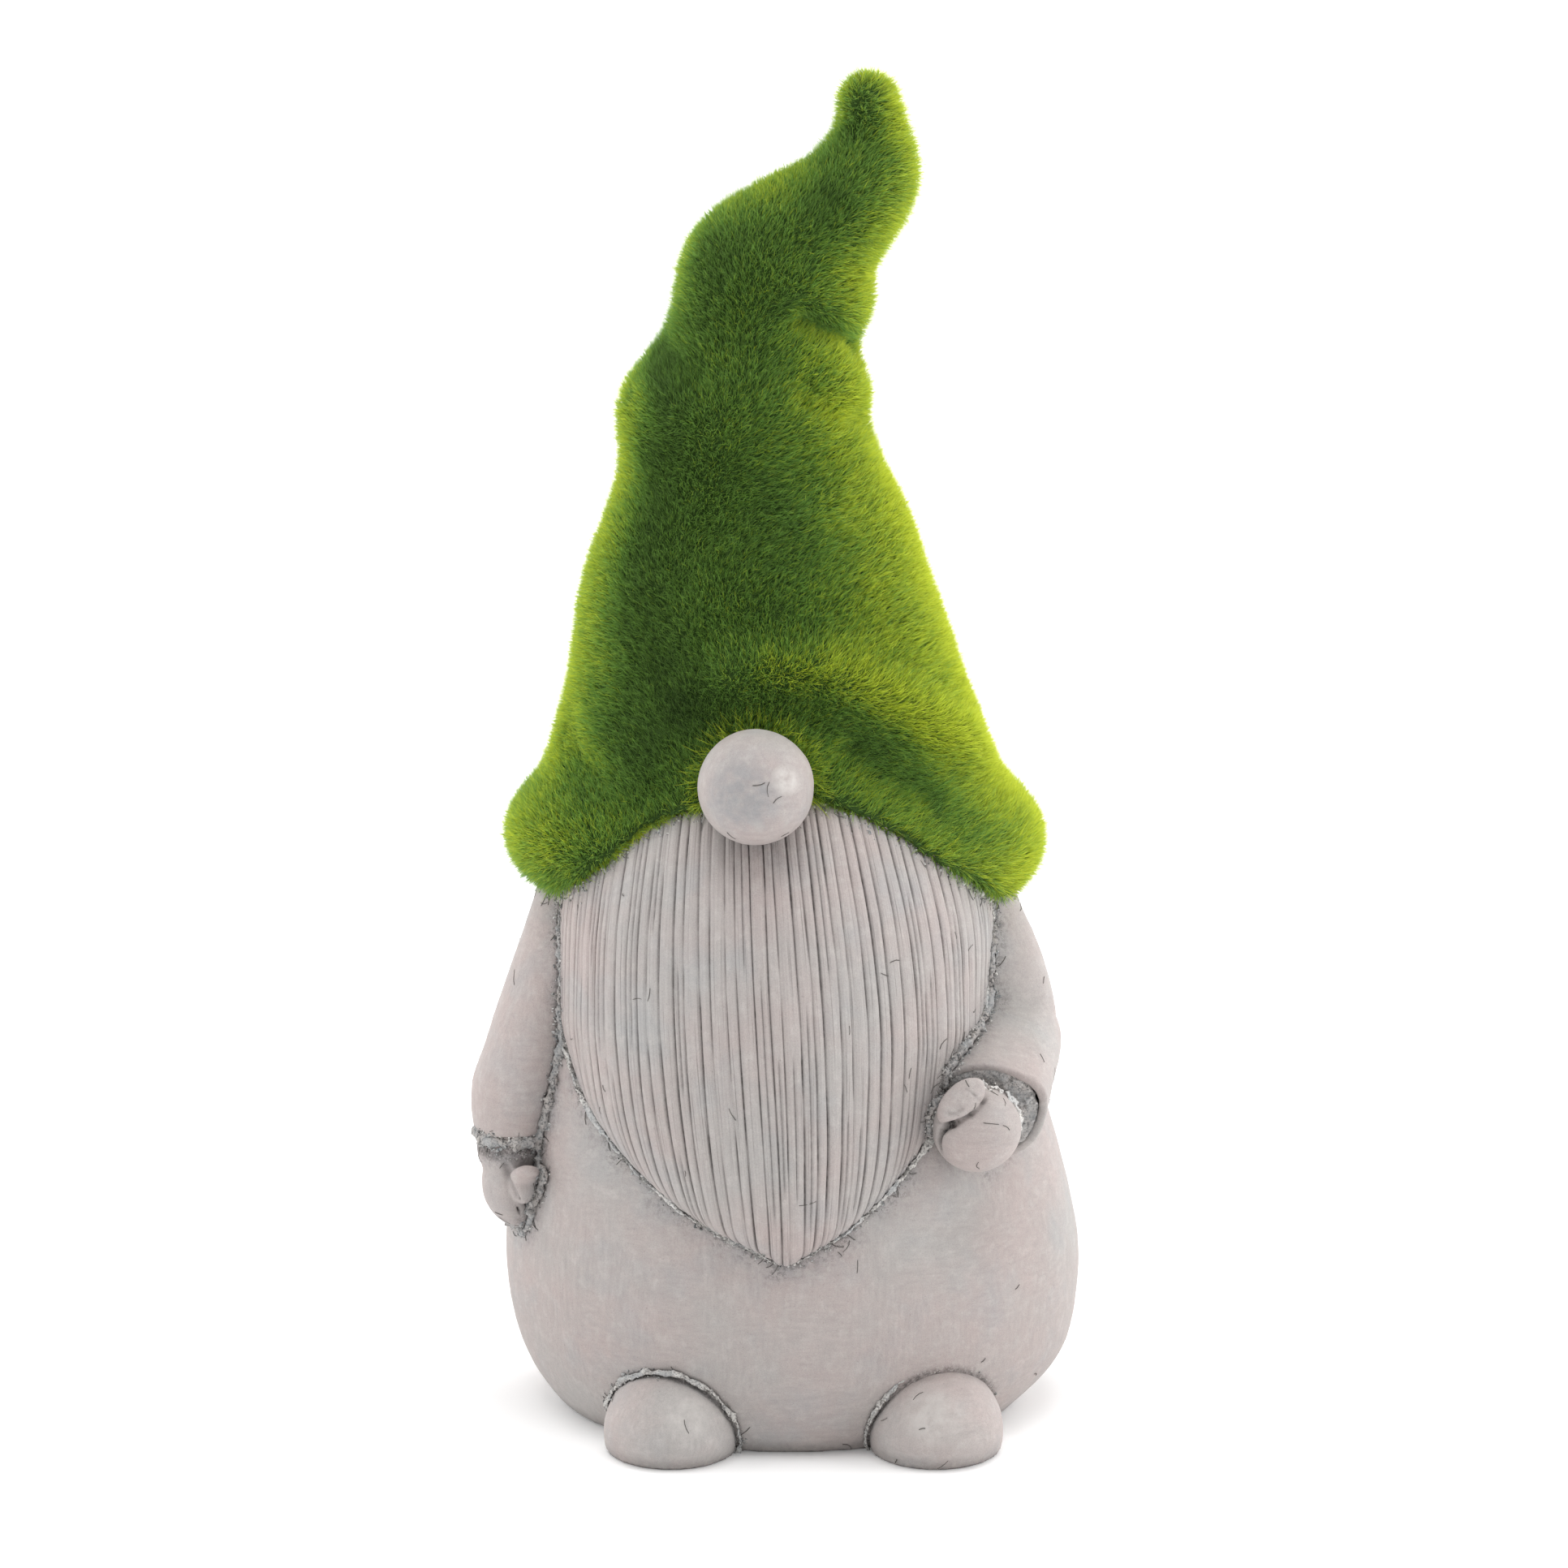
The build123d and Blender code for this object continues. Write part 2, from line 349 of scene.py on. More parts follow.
WARM_CEMENT = (0.440, 0.378, 0.362)
GREY_CEMENT = (0.412, 0.388, 0.374)
COOL_CEMENT = (0.350, 0.368, 0.378)
PALE_CEMENT = (0.560, 0.535, 0.510)
STEEL_CEMENT = (0.250, 0.262, 0.275)
# Dark colour of painted shade in corners, grooves and pits, and of the crust at joints and the specks near
# other parts.
SHADE_AND_GRIME = (0.060, 0.056, 0.054)


def brush_marks(n):
    """Fine strokes of a stiff brush, in patches that run different ways."""
    upright = n.noise(0.9, 4, 0.6, n.stretched((1, 1, 0.16)))
    level = n.noise(0.9, 4, 0.6, n.stretched((0.15, 0.4, 1), (0.3, 0.5, 0.2)))
    patch = n.range(n.noise(17, 2), 0.42, 0.58)
    return n.blend(patch, upright, level)


def cement(name, lightness=1.0, gloss=0.0, pit_shades=(), painted_light_patches=(), combed=False):
    """Cast cement with a pinkish wash and brush marks, painted shade in its recesses, grooves and pits, dark
    crust along its joints and darker bluish blotches near other parts.
    """
    n = Nodes(name)
    clouds = n.range(n.noise(30, 4), 0.36, 0.62)
    colour = n.mix(clouds, GREY_CEMENT, WARM_CEMENT)
    veils = n.range(n.noise(13, 5), 0.50, 0.74, 0.0, 0.42)
    colour = n.mix(veils, colour, COOL_CEMENT)
    dust = n.range(n.noise(2.6, 6, 0.65), 0.50, 0.75, 0.0, 0.42)
    colour = n.mix(dust, colour, PALE_CEMENT)
    marks = n.streaks(0.55, 0.03) if combed else brush_marks(n)
    shade = n.range(marks, 0.30, 0.70, 0.92, 1.08)
    if combed:
        shade = n.times(shade, n.range(n.streaks(0.38, 0.012), 0.30, 0.42, 0.66, 1.0))
    speckle = n.range(n.noise(0.40, 2), 0.64, 0.80, 1.0, 0.72)
    grain = n.range(n.noise(0.22, 2), 0.25, 0.75, 0.89, 1.11)
    shade = n.times(n.times(shade, speckle), n.times(grain, lightness))
    colour = n.mix(1.0, colour, n.grey(shade), "MULTIPLY")
    # Painted shade: corners narrower than 4 mm, and more strongly those under 1.3 mm, darkened through
    # ambient occlusion, in patches.
    patchy = n.range(n.noise(1.3, 4), 0.32, 0.62, 0.35, 1.0)
    wide = n.times(n.recesses(4.0, 0.35, 0.95), 0.32)
    close = n.times(n.recesses(1.3, 0.20, 0.75), 0.80)
    shade_and_grime_mask = n.times(n.math("MAXIMUM", wide, close), patchy)
    # Painted shade in grooves and creases, as the groove attribute gives it, in patches.
    groove_shade = n.times(n.attribute("groove"), n.range(n.noise(1.4, 4, 0.7), 0.35, 0.62, 0.50, 1.10))
    shade_and_grime_mask = n.math("MAXIMUM", shade_and_grime_mask, n.times(groove_shade, 0.90, clamp=True))
    # Patches of painted light: painted shade and highlights on the nose, and dust with painted highlights on
    # the feet.
    for middle, radius, patch, strength in painted_light_patches:
        spread = n.times(n.near(middle, radius), n.range(n.noise(2.4, 5), 0.36, 0.6, 0.2, 1.0))
        colour = n.mix(n.times(spread, strength), colour, patch)
    # Painted shade of pits that are not cut into the surface.
    for middle, radius in pit_shades:
        shade_and_grime_mask = n.math("MAXIMUM", shade_and_grime_mask, n.times(n.near(middle, radius), 0.6))
    joint = n.attribute("joint")
    soot = n.range(n.noise(0.9, 5, 0.7), 0.40, 0.62, 0.10, 0.85)
    shade_and_grime_mask = n.math("MAXIMUM", shade_and_grime_mask, n.times(n.math("POWER", joint, 1.6), soot))
    # Darker bluish blotches and dark specks near other parts.
    darkening = n.attribute("darkening")
    blotches = n.range(n.noise(7, 3), 0.35, 0.6, 0.0, 0.42)
    colour = n.mix(n.times(darkening, blotches), colour, STEEL_CEMENT)
    specks = n.times(n.range(n.noise(1.1, 6, 0.8), 0.50, 0.56), n.range(n.noise(9, 3), 0.34, 0.56))
    shade_and_grime_mask = n.math("MAXIMUM", shade_and_grime_mask, n.times(n.times(darkening, specks), 0.62))
    # The dark colour goes in as painted shade of corners, grooves and pits, and as the crust at the joints
    # and the dark specks.
    colour = n.mix(shade_and_grime_mask, colour, SHADE_AND_GRIME)
    flecks = n.times(n.range(n.noise(0.7, 3, 0.7), 0.60, 0.66), joint)
    colour = n.mix(flecks, colour, PALE_CEMENT)
    crust = n.times(n.noise(0.8, 4, 0.7), joint)
    relief = n.bump(marks, 0.16 if combed else 0.07)
    for height, depth in ((n.noise(3.6, 5), 0.28), (n.noise(0.42, 3), 0.05), (crust, 0.9)):
        relief = n.bump(height, depth, relief)
    return n.wired(colour, n.range(marks, 0.3, 0.7, 0.66 - gloss, 0.88 - gloss), 0.35, relief)


def crumbly(name, pale, dark, balance):
    """Slip squeezed out of a joint: pale and dark grains, rough all over."""
    n = Nodes(name)
    grains = n.range(n.noise(0.55, 3, 0.7), balance - 0.07, balance + 0.07)
    colour = n.mix(grains, dark, pale)
    colour = n.mix(n.range(n.noise(5, 3), 0.4, 0.65, 0.0, 0.6), colour, COOL_CEMENT)
    return n.wired(colour, n.range(grains, 0, 1, 0.95, 0.8), normal=n.bump(n.noise(0.5, 3), 0.25))


# ---- Cement pieces ----
def merged(*meshes):
    """One triangle mesh holding all of these."""
    points, faces, offset = [], [], 0
    for mesh in meshes:
        points.append(points_of(mesh))
        faces.append(triangles_of(mesh) + offset)
        offset += len(mesh.vertices)
    return mesh_from("merged", np.concatenate(points), np.concatenate(faces))


def cast(nodes, voxel, lumps, wear=0.05, smoothing=4):
    """CAD nodes worked over as clay: soft edges, hand-made unevenness and a slightly gritty skin."""
    mesh = clay(merged(*(NODES[node].data for node in nodes)), voxel, smoothing)
    points = points_of(mesh)
    push = lumps * rough(points, 13 * MM, 3, 2) + wear * rough(points, 1.6 * MM, 8, 2)
    push[points[:, 2] < 1.0 * MM] = 0
    swell(mesh, push)
    rest_on_ground(mesh)
    return mesh


def front_point(shape, x, z):
    """Where a surface faces the viewer at x and z, in millimetres."""
    hit = shape.ray_cast(Vector((x * MM, -0.2, z * MM)), Vector((0, 1, 0)))[0]
    return np.array(hit or shape.find_nearest(Vector((x * MM, 0, z * MM)))[0]) / MM


def carve_front(mesh, shape, path, width, depth, crease_shade=0.0):
    carve(mesh, [front_point(shape, x, z) for x, z in path], width, depth, crease_shade)


CUFF_WEAR = 3.8  # how much the right cuff's lower edge was rubbed back, in millimetres


def full_torso():
    """Torso shell, with the heavier left flank of the cast."""
    mesh = cast(("torso_shell",), 1.25, 0.35)
    points = points_of(mesh)
    height = points[:, 2] / MM
    flank = ease(points[:, 0] / MM, 12, 48) * ease(height, -2, 16) * (1 - ease(height, 34, 78))
    out = unit(points * (1, 1, 0))
    move_points(mesh, points + out * (flank * 3.0 * MM)[:, None])
    return mesh


def worn_sleeve():
    """Right sleeve, its cuff rubbed back and chipped."""
    mesh = cast(("right_sleeve",), 0.6, 0.3)
    points = points_of(mesh)
    chips = 0.9 * rough(points, 3.5 * MM, 9)
    points[:, 2] += (CUFF_WEAR + chips) * MM * (1 - ease(points[:, 2] / MM, 68, 84))
    move_points(mesh, points)
    return mesh


def full_sleeve():
    """Left sleeve, rounded out along its upper arm."""
    mesh = cast(("left_sleeve",), 0.55, 0.3, smoothing=6)
    points = points_of(mesh)
    x, z = points[:, 0] / MM, points[:, 2] / MM
    points[:, 0] += 1.9 * MM * ease(x, 49, 58) * ease(z, 72, 84) * (1 - ease(z, 108, 120))
    move_points(mesh, points)
    return mesh


def seated_nose():
    """Nose ball pressed well down into the beard and under the hat's brow."""
    mesh = cast(("nose",), 0.5, 0.2)
    points = points_of(mesh)
    middle = points.mean(axis=0)
    move_points(mesh, middle + (points - middle) * 0.965 + np.array((0.4, 0.8, -1.6)) * MM)
    return mesh


def blunt_foot(node):
    """Foot with a blunt toe that is rubbed back where it meets the ground."""
    mesh = cast((node,), 0.6, 0.35, 0.06)
    points = points_of(mesh)
    y, z = points[:, 1] / MM, points[:, 2] / MM
    toe = np.minimum(y + 36, 0)
    points[:, 1] += (-0.14 * toe + 2.0 * (1 - ease(z, 0, 6)) * ease(-toe, 2, 14)) * MM
    move_points(mesh, points)
    return mesh


def left_hand():
    """Closed fist whose thumb lies across it, with the crease under the thumb."""
    mesh = cast(("left_fist", "left_thumb"), 0.32, 0.25, smoothing=7)
    shape = tree(mesh)
    crease = [(47.0, 83.4), (45.6, 81.6), (43.0, 79.2), (40.2, 77.6),
              (37.6, 76.2), (36.4, 74.4), (36.0, 71.8), (36.4, 69.8)]
    # The last number of each carve paints shade into the crease, as the groove attribute.
    carve_front(mesh, shape, crease[:5], 0.42, 0.9, 0.75)
    carve_front(mesh, shape, crease[3:], 0.75, 1.9, 1.25)
    carve_front(mesh, shape, [(41.4, 85.0), (43.6, 83.6), (45.0, 81.4)], 0.35, 0.35, 0.45)
    carve_front(mesh, shape, [(41.6, 81.0), (39.6, 79.6), (37.6, 79.4)], 0.6, 0.35, 0.35)
    carve_front(mesh, shape, [(43.2, 82.2), (42.0, 81.6), (40.4, 81.4)], 0.5, -0.3)
    return mesh


def right_hand():
    """Hanging mitt: fingers in one mass, a thumb pad, a deep crease between, and casting holes below."""
    mesh = cast(("right_hand", "right_thumb"), 0.28, 0.25, smoothing=7)
    points = points_of(mesh)
    neck = ease(points[:, 2] / MM, 55.5, 62)
    points[:, 2] += CUFF_WEAR * MM * ease(points[:, 2] / MM, 61, 68)
    middle = np.array((-56.8, -10.2)) * MM
    points[:, :2] = middle + (points[:, :2] - middle) * (1 + 0.50 * neck)[:, None]
    move_points(mesh, points)
    shape = tree(mesh)
    # The last number of each carve paints shade into the crease and the casting holes, as the groove
    # attribute.
    carve_front(mesh, shape, [(-57.8, 60.5), (-57.3, 57.5), (-56.4, 54.6), (-55.3, 51.8)], 1.0, 0.8, 0.4)
    carve_front(mesh, shape, [(-57.6, 59.5), (-56.6, 56.6), (-55.6, 54.0), (-54.6, 51.8)], 0.35, 1.0, 0.9)
    for x, z, size in ((-53.6, 50.4, 0.7), (-55.2, 49.0, 0.8), (-53.0, 63.4, 1.0)):
        carve_front(mesh, shape, [(x, z), (x + 0.4, z + 0.2)], size, 1.3, 0.9)
    return mesh


# Painted shade of pits in the torso, not cut into it: middle and radius in millimetres.
BODY_PIT_SHADES = (((-24.7, -51.2, 30.5), 0.55), ((-22.5, -51.4, 28.2), 0.5), ((-18.4, -49.6, 51.3), 0.5))
body_cement = cement("brushed_cement", 0.95, pit_shades=BODY_PIT_SHADES)
# Painted light on the nose: painted shade over its front centre-left, a painted highlight at its upper right
# and a smaller pale patch low on its front.
NOSE_PAINTED_LIGHT = (((-6.5, -57.5, 149.0), 8.5, STEEL_CEMENT, 0.55),
                ((4.2, -55.8, 153.0), 3.6, PALE_CEMENT, 0.85),
                ((-3.0, -58.0, 141.5), 3.0, PALE_CEMENT, 0.45))
nose_cement = cement("burnished_painted_light_cement", 0.90, gloss=0.16, painted_light_patches=NOSE_PAINTED_LIGHT)
# Pale patches on the toes' upper fronts, partly dust and partly painted highlight; the feet's cement is also
# a slightly lighter copy of the body's.
FOOT_DUST_AND_HIGHLIGHTS = (((-17.0, -54.0, 14.0), 6.0, PALE_CEMENT, 0.55), ((35.0, -55.0, 14.0), 7.5, PALE_CEMENT, 0.60))
foot_cement = cement("dusty_highlit_cement", 1.0, painted_light_patches=FOOT_DUST_AND_HIGHLIGHTS)
CEMENT_PIECES = {}


def cement_piece(name, mesh, material, slot, *nodes):
    CEMENT_PIECES[nodes] = add_piece(name, mesh, material, nodes)


cement_piece("torso", full_torso(), body_cement, "cement_torso", "torso_shell")
cement_piece("nose_ball", seated_nose(), nose_cement, "cement_nose", "nose")
right_sleeve, left_sleeve = worn_sleeve(), full_sleeve()
cement_piece("right_sleeve_cast", right_sleeve, body_cement, "cement_sleeves", "right_sleeve")
cement_piece("left_sleeve_cast", left_sleeve, body_cement, "cement_sleeves", "left_sleeve")
cement_piece("right_hand_cast", right_hand(), body_cement, "cement_hands", "right_hand", "right_thumb")
cement_piece("left_fist_cast", left_hand(), body_cement, "cement_hands", "left_fist", "left_thumb")
cement_piece("right_foot_cast", blunt_foot("right_foot"), foot_cement, "cement_feet", "right_foot")
cement_piece("left_foot_cast", blunt_foot("left_foot"), foot_cement, "cement_feet", "left_foot")


# ---- Beard ----
TORSO_AXIS_Y = 4.0
GROOVES = 52
GROOVE_STEP = 3.05  # between grooves at the beard's widest height, along its surface
BEARD_ROWS = 185
BEARD_LOW, BEARD_HIGH = 45.7, 154.5
COMB_WIDEST = 98.0  # height where the grooves are furthest apart
COLUMN_PLACES = np.array([0, 0.06, 0.13, 0.28, 0.43, 0.5, 0.57, 0.72, 0.87, 0.94])  # from groove to groove
BACK_COLUMNS = 24


def comb_middle(z):
    """X of the middle groove at a height: it leans a little to the right arm on its way up."""
    return 3.4 - 5.2 * np.clip((z - 50) / 100, 0, 1) ** 1.4


def comb_spread(z):
    """How much of their widest spacing the grooves keep at a height."""
    return 1 - np.where(z > COMB_WIDEST, 0.30, 0.27) * ((z - COMB_WIDEST) / 54) ** 2


def level_hit(shape, axis, angle):
    """Where a level ray towards a point of the torso's axis first meets a shape; angle 0 is the front."""
    away = Vector((np.sin(angle), -np.cos(angle), 0))
    return shape.ray_cast(axis + away * 0.2, -away)[0]


def edge_angle(shape, axis, side):
    """Angle at which the beard runs out into the torso on one side, found by halving."""
    inside, outside = 0.0, side * 2.0
    for _ in range(13):
        middle = (inside + outside) / 2
        if level_hit(shape, axis, middle):
            inside = middle
        else:
            outside = middle
    return inside


def surface_rows(shape, torso_shape, heights):
    """For each height: points across the beard, their distance along the surface, and the torso behind.

    Distances run along the whole beard, as if the nose had left no seat in it.
    """
    low, high = (np.array(corner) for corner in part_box("nose"))
    nose_middle, nose_radius = (low + high) / 2, (high[0] - low[0]) / 2 + 0.3 * MM
    fronts, arcs, backs = [], [], []
    for z in heights:
        axis = Vector((comb_middle(z), TORSO_AXIS_Y, z)) * MM
        left, right = edge_angle(shape, axis, -1), edge_angle(shape, axis, 1)
        angles = np.concatenate([np.linspace(left, 0, 80), np.linspace(0, right, 80)[1:]])
        front = np.array([level_hit(shape, axis, a) for a in angles])
        in_seat = np.linalg.norm(front - nose_middle, axis=1) < nose_radius
        reach = np.linalg.norm(front - np.array(axis), axis=1)
        reach = np.interp(angles, angles[~in_seat], reach[~in_seat])
        whole = reach[:, None] * np.stack([np.sin(angles), -np.cos(angles)], axis=1)
        steps = np.linalg.norm(np.diff(whole, axis=0), axis=1)
        arc = np.concatenate([[0], np.cumsum(steps)]) / MM
        behind = np.array([level_hit(torso_shape, axis, a) for a in np.linspace(right, left, BACK_COLUMNS)])
        inward = unit(np.array(axis) - behind) * (0.4 * MM)
        fronts.append(front)
        arcs.append(arc - arc[79])
        backs.append(behind + inward)
    return fronts, arcs, np.array(backs)


def groove_lines(heights):
    """Distance of every groove from the comb's middle line at every height, wandering a little."""
    rng = np.random.default_rng(5)
    home = (np.arange(GROOVES) - (GROOVES - 1) / 2) * GROOVE_STEP + rng.uniform(-0.45, 0.45, GROOVES)
    lines = comb_spread(heights)[:, None] * home
    for size, reach, seed in ((34, 0.35, 1), (11, 0.12, 2)):
        along = np.stack(np.broadcast_arrays(heights[:, None] / size, np.arange(GROOVES) * 7.3, 0.5), -1)
        lines += reach * noise(along.reshape(-1, 3), 1.0, seed).reshape(lines.shape)
    return lines


def comb(heights, lines):
    """Columns between the grooves, with how deep each is pressed in and how much painted shade it holds."""
    rng = np.random.default_rng(6)
    steps = np.diff(lines, axis=1)
    columns = lines[:, :-1, None] + steps[:, :, None] * COLUMN_PLACES
    offset = np.minimum(COLUMN_PLACES, 1 - COLUMN_PLACES) * steps[:, :, None]
    nearest = (np.arange(GROOVES - 1)[:, None] + (COLUMN_PLACES > 0.5)[None, :]).ravel()
    rows, count = len(heights), nearest.size
    offset = offset.reshape(rows, count)
    along = np.stack(np.broadcast_arrays(heights[:, None] / 9.0, nearest * 5.7, 0.0), -1).reshape(-1, 3)
    varied = rough(along, 1.0, 3, 2).reshape(rows, count)
    own = rng.uniform(0.30, 1.0, GROOVES)[nearest]
    strength = np.clip(own + 0.75 * varied, 0.05, 1.15)
    width = rng.uniform(0.11, 0.19, GROOVES)[nearest]
    press = 0.62 * strength * bell(offset, width)
    # Painted shade in and just beside each groove, and along the fine split lines.
    crease_shade = np.clip(strength, 0, 1) * bell(offset, width * 1.15)
    press -= 0.30 * np.sin(np.pi * np.tile(COLUMN_PLACES, GROOVES - 1)) ** 0.8
    between = np.abs(np.tile(COLUMN_PLACES, GROOVES - 1) - 0.5) * np.repeat(steps, len(COLUMN_PLACES), axis=1)
    split = np.repeat(rng.random(GROOVES - 1) < 0.75, len(COLUMN_PLACES))
    low = np.repeat(rng.uniform(40, 120, GROOVES - 1), len(COLUMN_PLACES))
    length = np.repeat(rng.uniform(18, 60, GROOVES - 1), len(COLUMN_PLACES))
    place = (heights[:, None] - low) / length
    window = split * np.clip(8 * np.minimum(place, 1 - place), 0, 1)
    fine = window * bell(between, 0.2)
    return columns.reshape(rows, count), press + 0.42 * fine, np.maximum(crease_shade, 0.55 * fine)


def ring_faces(rows, columns):
    """Quads of a tube of closed rings."""
    here = np.arange(rows - 1)[:, None] * columns + np.arange(columns)
    beside = np.arange(rows - 1)[:, None] * columns + (np.arange(columns) + 1) % columns
    return np.stack([here, beside, beside + columns, here + columns], -1).reshape(-1, 4)


def combed_beard(material):
    heights = np.linspace(BEARD_LOW, BEARD_HIGH, BEARD_ROWS)
    shape, torso_shape = tree(NODES["beard"].data), tree(NODES["torso_shell"].data)
    fronts, arcs, backs = surface_rows(shape, torso_shape, heights)
    columns, press, crease_shade = comb(heights, groove_lines(heights))
    strands = np.pad(columns / comb_spread(heights)[:, None], ((0, 0), (0, BACK_COLUMNS)))
    rings, presses, crease_shades = [], [], []
    for front, arc, back, column, depth, darkening in zip(fronts, arcs, backs, columns, press, crease_shade):
        place = np.clip(column, arc[0], arc[-1])
        rings.append(np.vstack([np.stack([np.interp(place, arc, front[:, i]) for i in range(3)], 1), back]))
        fade = np.clip(np.minimum(place - arc[0], arc[-1] - place) / 1.2, 0, 1)
        presses.append(np.concatenate([depth * fade, np.zeros(BACK_COLUMNS)]))
        crease_shades.append(np.concatenate([darkening * np.clip(fade + 0.3, 0, 1), np.zeros(BACK_COLUMNS)]))
    points = np.array(rings)
    faces = ring_faces(*points.shape[:2])
    points = points.reshape(-1, 3)
    across = np.linalg.norm(points[faces[:, 0]] - points[faces[:, 1]], axis=1)
    above = np.linalg.norm(points[faces[:, 3]] - points[faces[:, 2]], axis=1)
    faces = faces[np.maximum(across, above) > 1e-6]
    mesh = mesh_from("combed_beard", points, faces)
    lumps = 0.20 * rough(points, 14 * MM, 21, 2) + 0.05 * rough(points, 1.5 * MM, 22, 2, (1, 1, 3))
    push = (lumps - np.concatenate(presses)) * MM
    # Painted shade under the nose, put into the groove attribute.
    shade_under_nose = np.exp(-(((points[:, 0] / MM + 2) / 9) ** 2) - ((points[:, 2] / MM - 136) / 5) ** 2)
    move_points(mesh, points + normals_of(mesh) * push[:, None])
    set_attribute(mesh, "groove", np.maximum(np.concatenate(crease_shades), 0.35 * shade_under_nose))
    set_attribute(mesh, "comb", strands.ravel())
    cement_piece("beard_combed", mesh, material, "cement_beard", "beard")


# Painted shade of pits in the beard, not cut into it: middle and radius in millimetres.
BEARD_PIT_SHADES = (((12.6, -52.4, 145.4), 0.75), ((12.6, -54.4, 131.6), 0.7), ((12.8, -56.4, 118.8), 0.7))
combed_beard(cement("combed_cement", 0.97, pit_shades=BEARD_PIT_SHADES, combed=True))


# ---- Hat ----
PILE = 3.3  # length of the flock in millimetres
FIBRES = 372_000
FIBRES_IN_A_PIECE = 62_000
FRINGE_FIBRES = 16_000
NOSE_HAIRS, NOSE_SAMPLES = 1200, 150_000
# How far the hat's front edge is let down at each x; both in millimetres.
ARCH_DROP = ((-45, 0.3), (-30, 0.8), (-16, 2.6), (0, 3.2), (20, 3.2), (36, 2.6), (50, 1.6))
# Painted light and shade on the pile: lighter bands are painted highlights on ridges, the tip, the lit right
# flank and the brim, darker ones painted shade in creases and a broad band left of the middle; front path (x,
# z), width, amount.
PILE_LIGHT_AND_SHADE = (
    ([(-14, 256), (-19, 242), (-22, 226), (-23, 210), (-26, 194), (-25, 178), (-20, 165)], 9, -0.28),
    ([(-38, 160), (-28, 152), (-18, 158)], 8, -0.16),
    ([(15, 157), (25, 149), (35, 141), (45, 133)], 6, -0.17),
    ([(14, 286), (13, 277), (10, 268)], 5, -0.20),
    ([(21, 293), (24, 284)], 6, 0.16),
    ([(30, 205), (37, 184), (44, 165), (54, 146)], 8, 0.34),
    ([(0, 172), (12, 171), (23, 165), (35, 157), (47, 148), (60, 136)], 4.5, 0.36),
    ([(3, 246), (11, 241.5), (20, 236.5)], 3, -0.24),
    ([(4, 234), (14, 229), (22, 222)], 6, 0.04),
    ([(-26, 236), (-22, 228)], 5, -0.14),
    ([(-52, 136), (-44, 132), (-36, 136)], 6, 0.16),
    ([(56, 124), (46, 124)], 6, 0.10),
)


def fold_hat(mesh):
    """Soft folds of the drooping hat: the brow roll over the nose, and creases where the cone buckles."""
    shape = tree(mesh)
    for path, width, depth in (
        ([(-15, 167), (-4, 172), (9, 172), (25, 164), (36, 156), (50, 145)], 6, -3.0),
        ([(12, 157), (24, 148), (36, 139)], 5.5, 2.0),
        ([(-44, 158), (-39, 148), (-30, 141), (-20, 147)], 6, 1.4),
        ([(-20, 166), (-24, 176), (-25, 188)], 6, 0.9),
        ([(3, 246), (11, 241.5), (18, 237), (26, 234)], 2.8, 3.6),
        ([(14, 221), (20, 220), (26, 219)], 3, 1.4),
        ([(4, 230), (12, 225), (20, 222)], 4, 1.3),
        ([(-27, 240), (-20, 234), (-12, 229)], 4, 1.3),
        ([(-31, 226), (-26, 221), (-16, 214)], 5, 1.1),
        ([(2, 200), (12, 207), (22, 212)], 6, -0.8),
        ([(14, 272), (11, 264), (2, 257)], 5, 0.8),
    ):
        carve_front(mesh, shape, path, width, depth)


def settle_hat(mesh):
    """Lets the tip sink a little and the brim spread, as the soft cast did."""
    points = points_of(mesh)
    x, z = points[:, 0] / MM, points[:, 2] / MM
    points[:, 2] -= 2.6 * MM * ease(z, 236, 266)
    brim = ease(np.abs(x), 42, 58) * (1 - ease(z, 136, 142))
    points[:, 0] += np.sign(x) * brim * 1.1 * MM
    points[:, 0] -= np.sign(x) * 1.2 * MM * bell(z - 141, 7) * ease(np.abs(x), 30, 44)
    points[:, 0] += np.sign(x) * 0.7 * MM * bell(z - 155, 6) * ease(np.abs(x), 26, 40)
    points[:, 0] += 3.4 * MM * bell(z - 277, 9) * (1 - ease(x, 4, 20))
    points[:, 1] *= 1 + 0.34 * bell(z - 291, 9)
    right = ease(x, 8, 22)
    points[:, 0] += right * 2.9 * MM * bell(z - 245.5, 7)
    for height, spread, push in ((270, 8, 1.2), (256, 5.5, -0.9), (229, 5, 0.6), (220, 3, -0.7)):
        points[:, 0] += right * push * MM * bell(z - height, spread)
    move_points(mesh, points)


def outer_faces(mesh, skin):
    """Faces that the flocked skin covers, as triangles."""
    triangles = triangles_of(mesh)
    covered = gap(points_of(mesh), skin) < 1.15 * MM
    return triangles[covered[triangles].any(axis=1)]


def open_edges(triangles):
    """Edges that only one of these triangles has, and that triangle's third corner."""
    edges = np.concatenate([triangles[:, [i, (i + 1) % 3]] for i in range(3)])
    third = np.concatenate([triangles[:, (i + 2) % 3] for i in range(3)])
    _, index, count = np.unique(np.sort(edges, axis=1), axis=0, return_index=True, return_counts=True)
    single = index[count == 1]
    return edges[single], third[single]


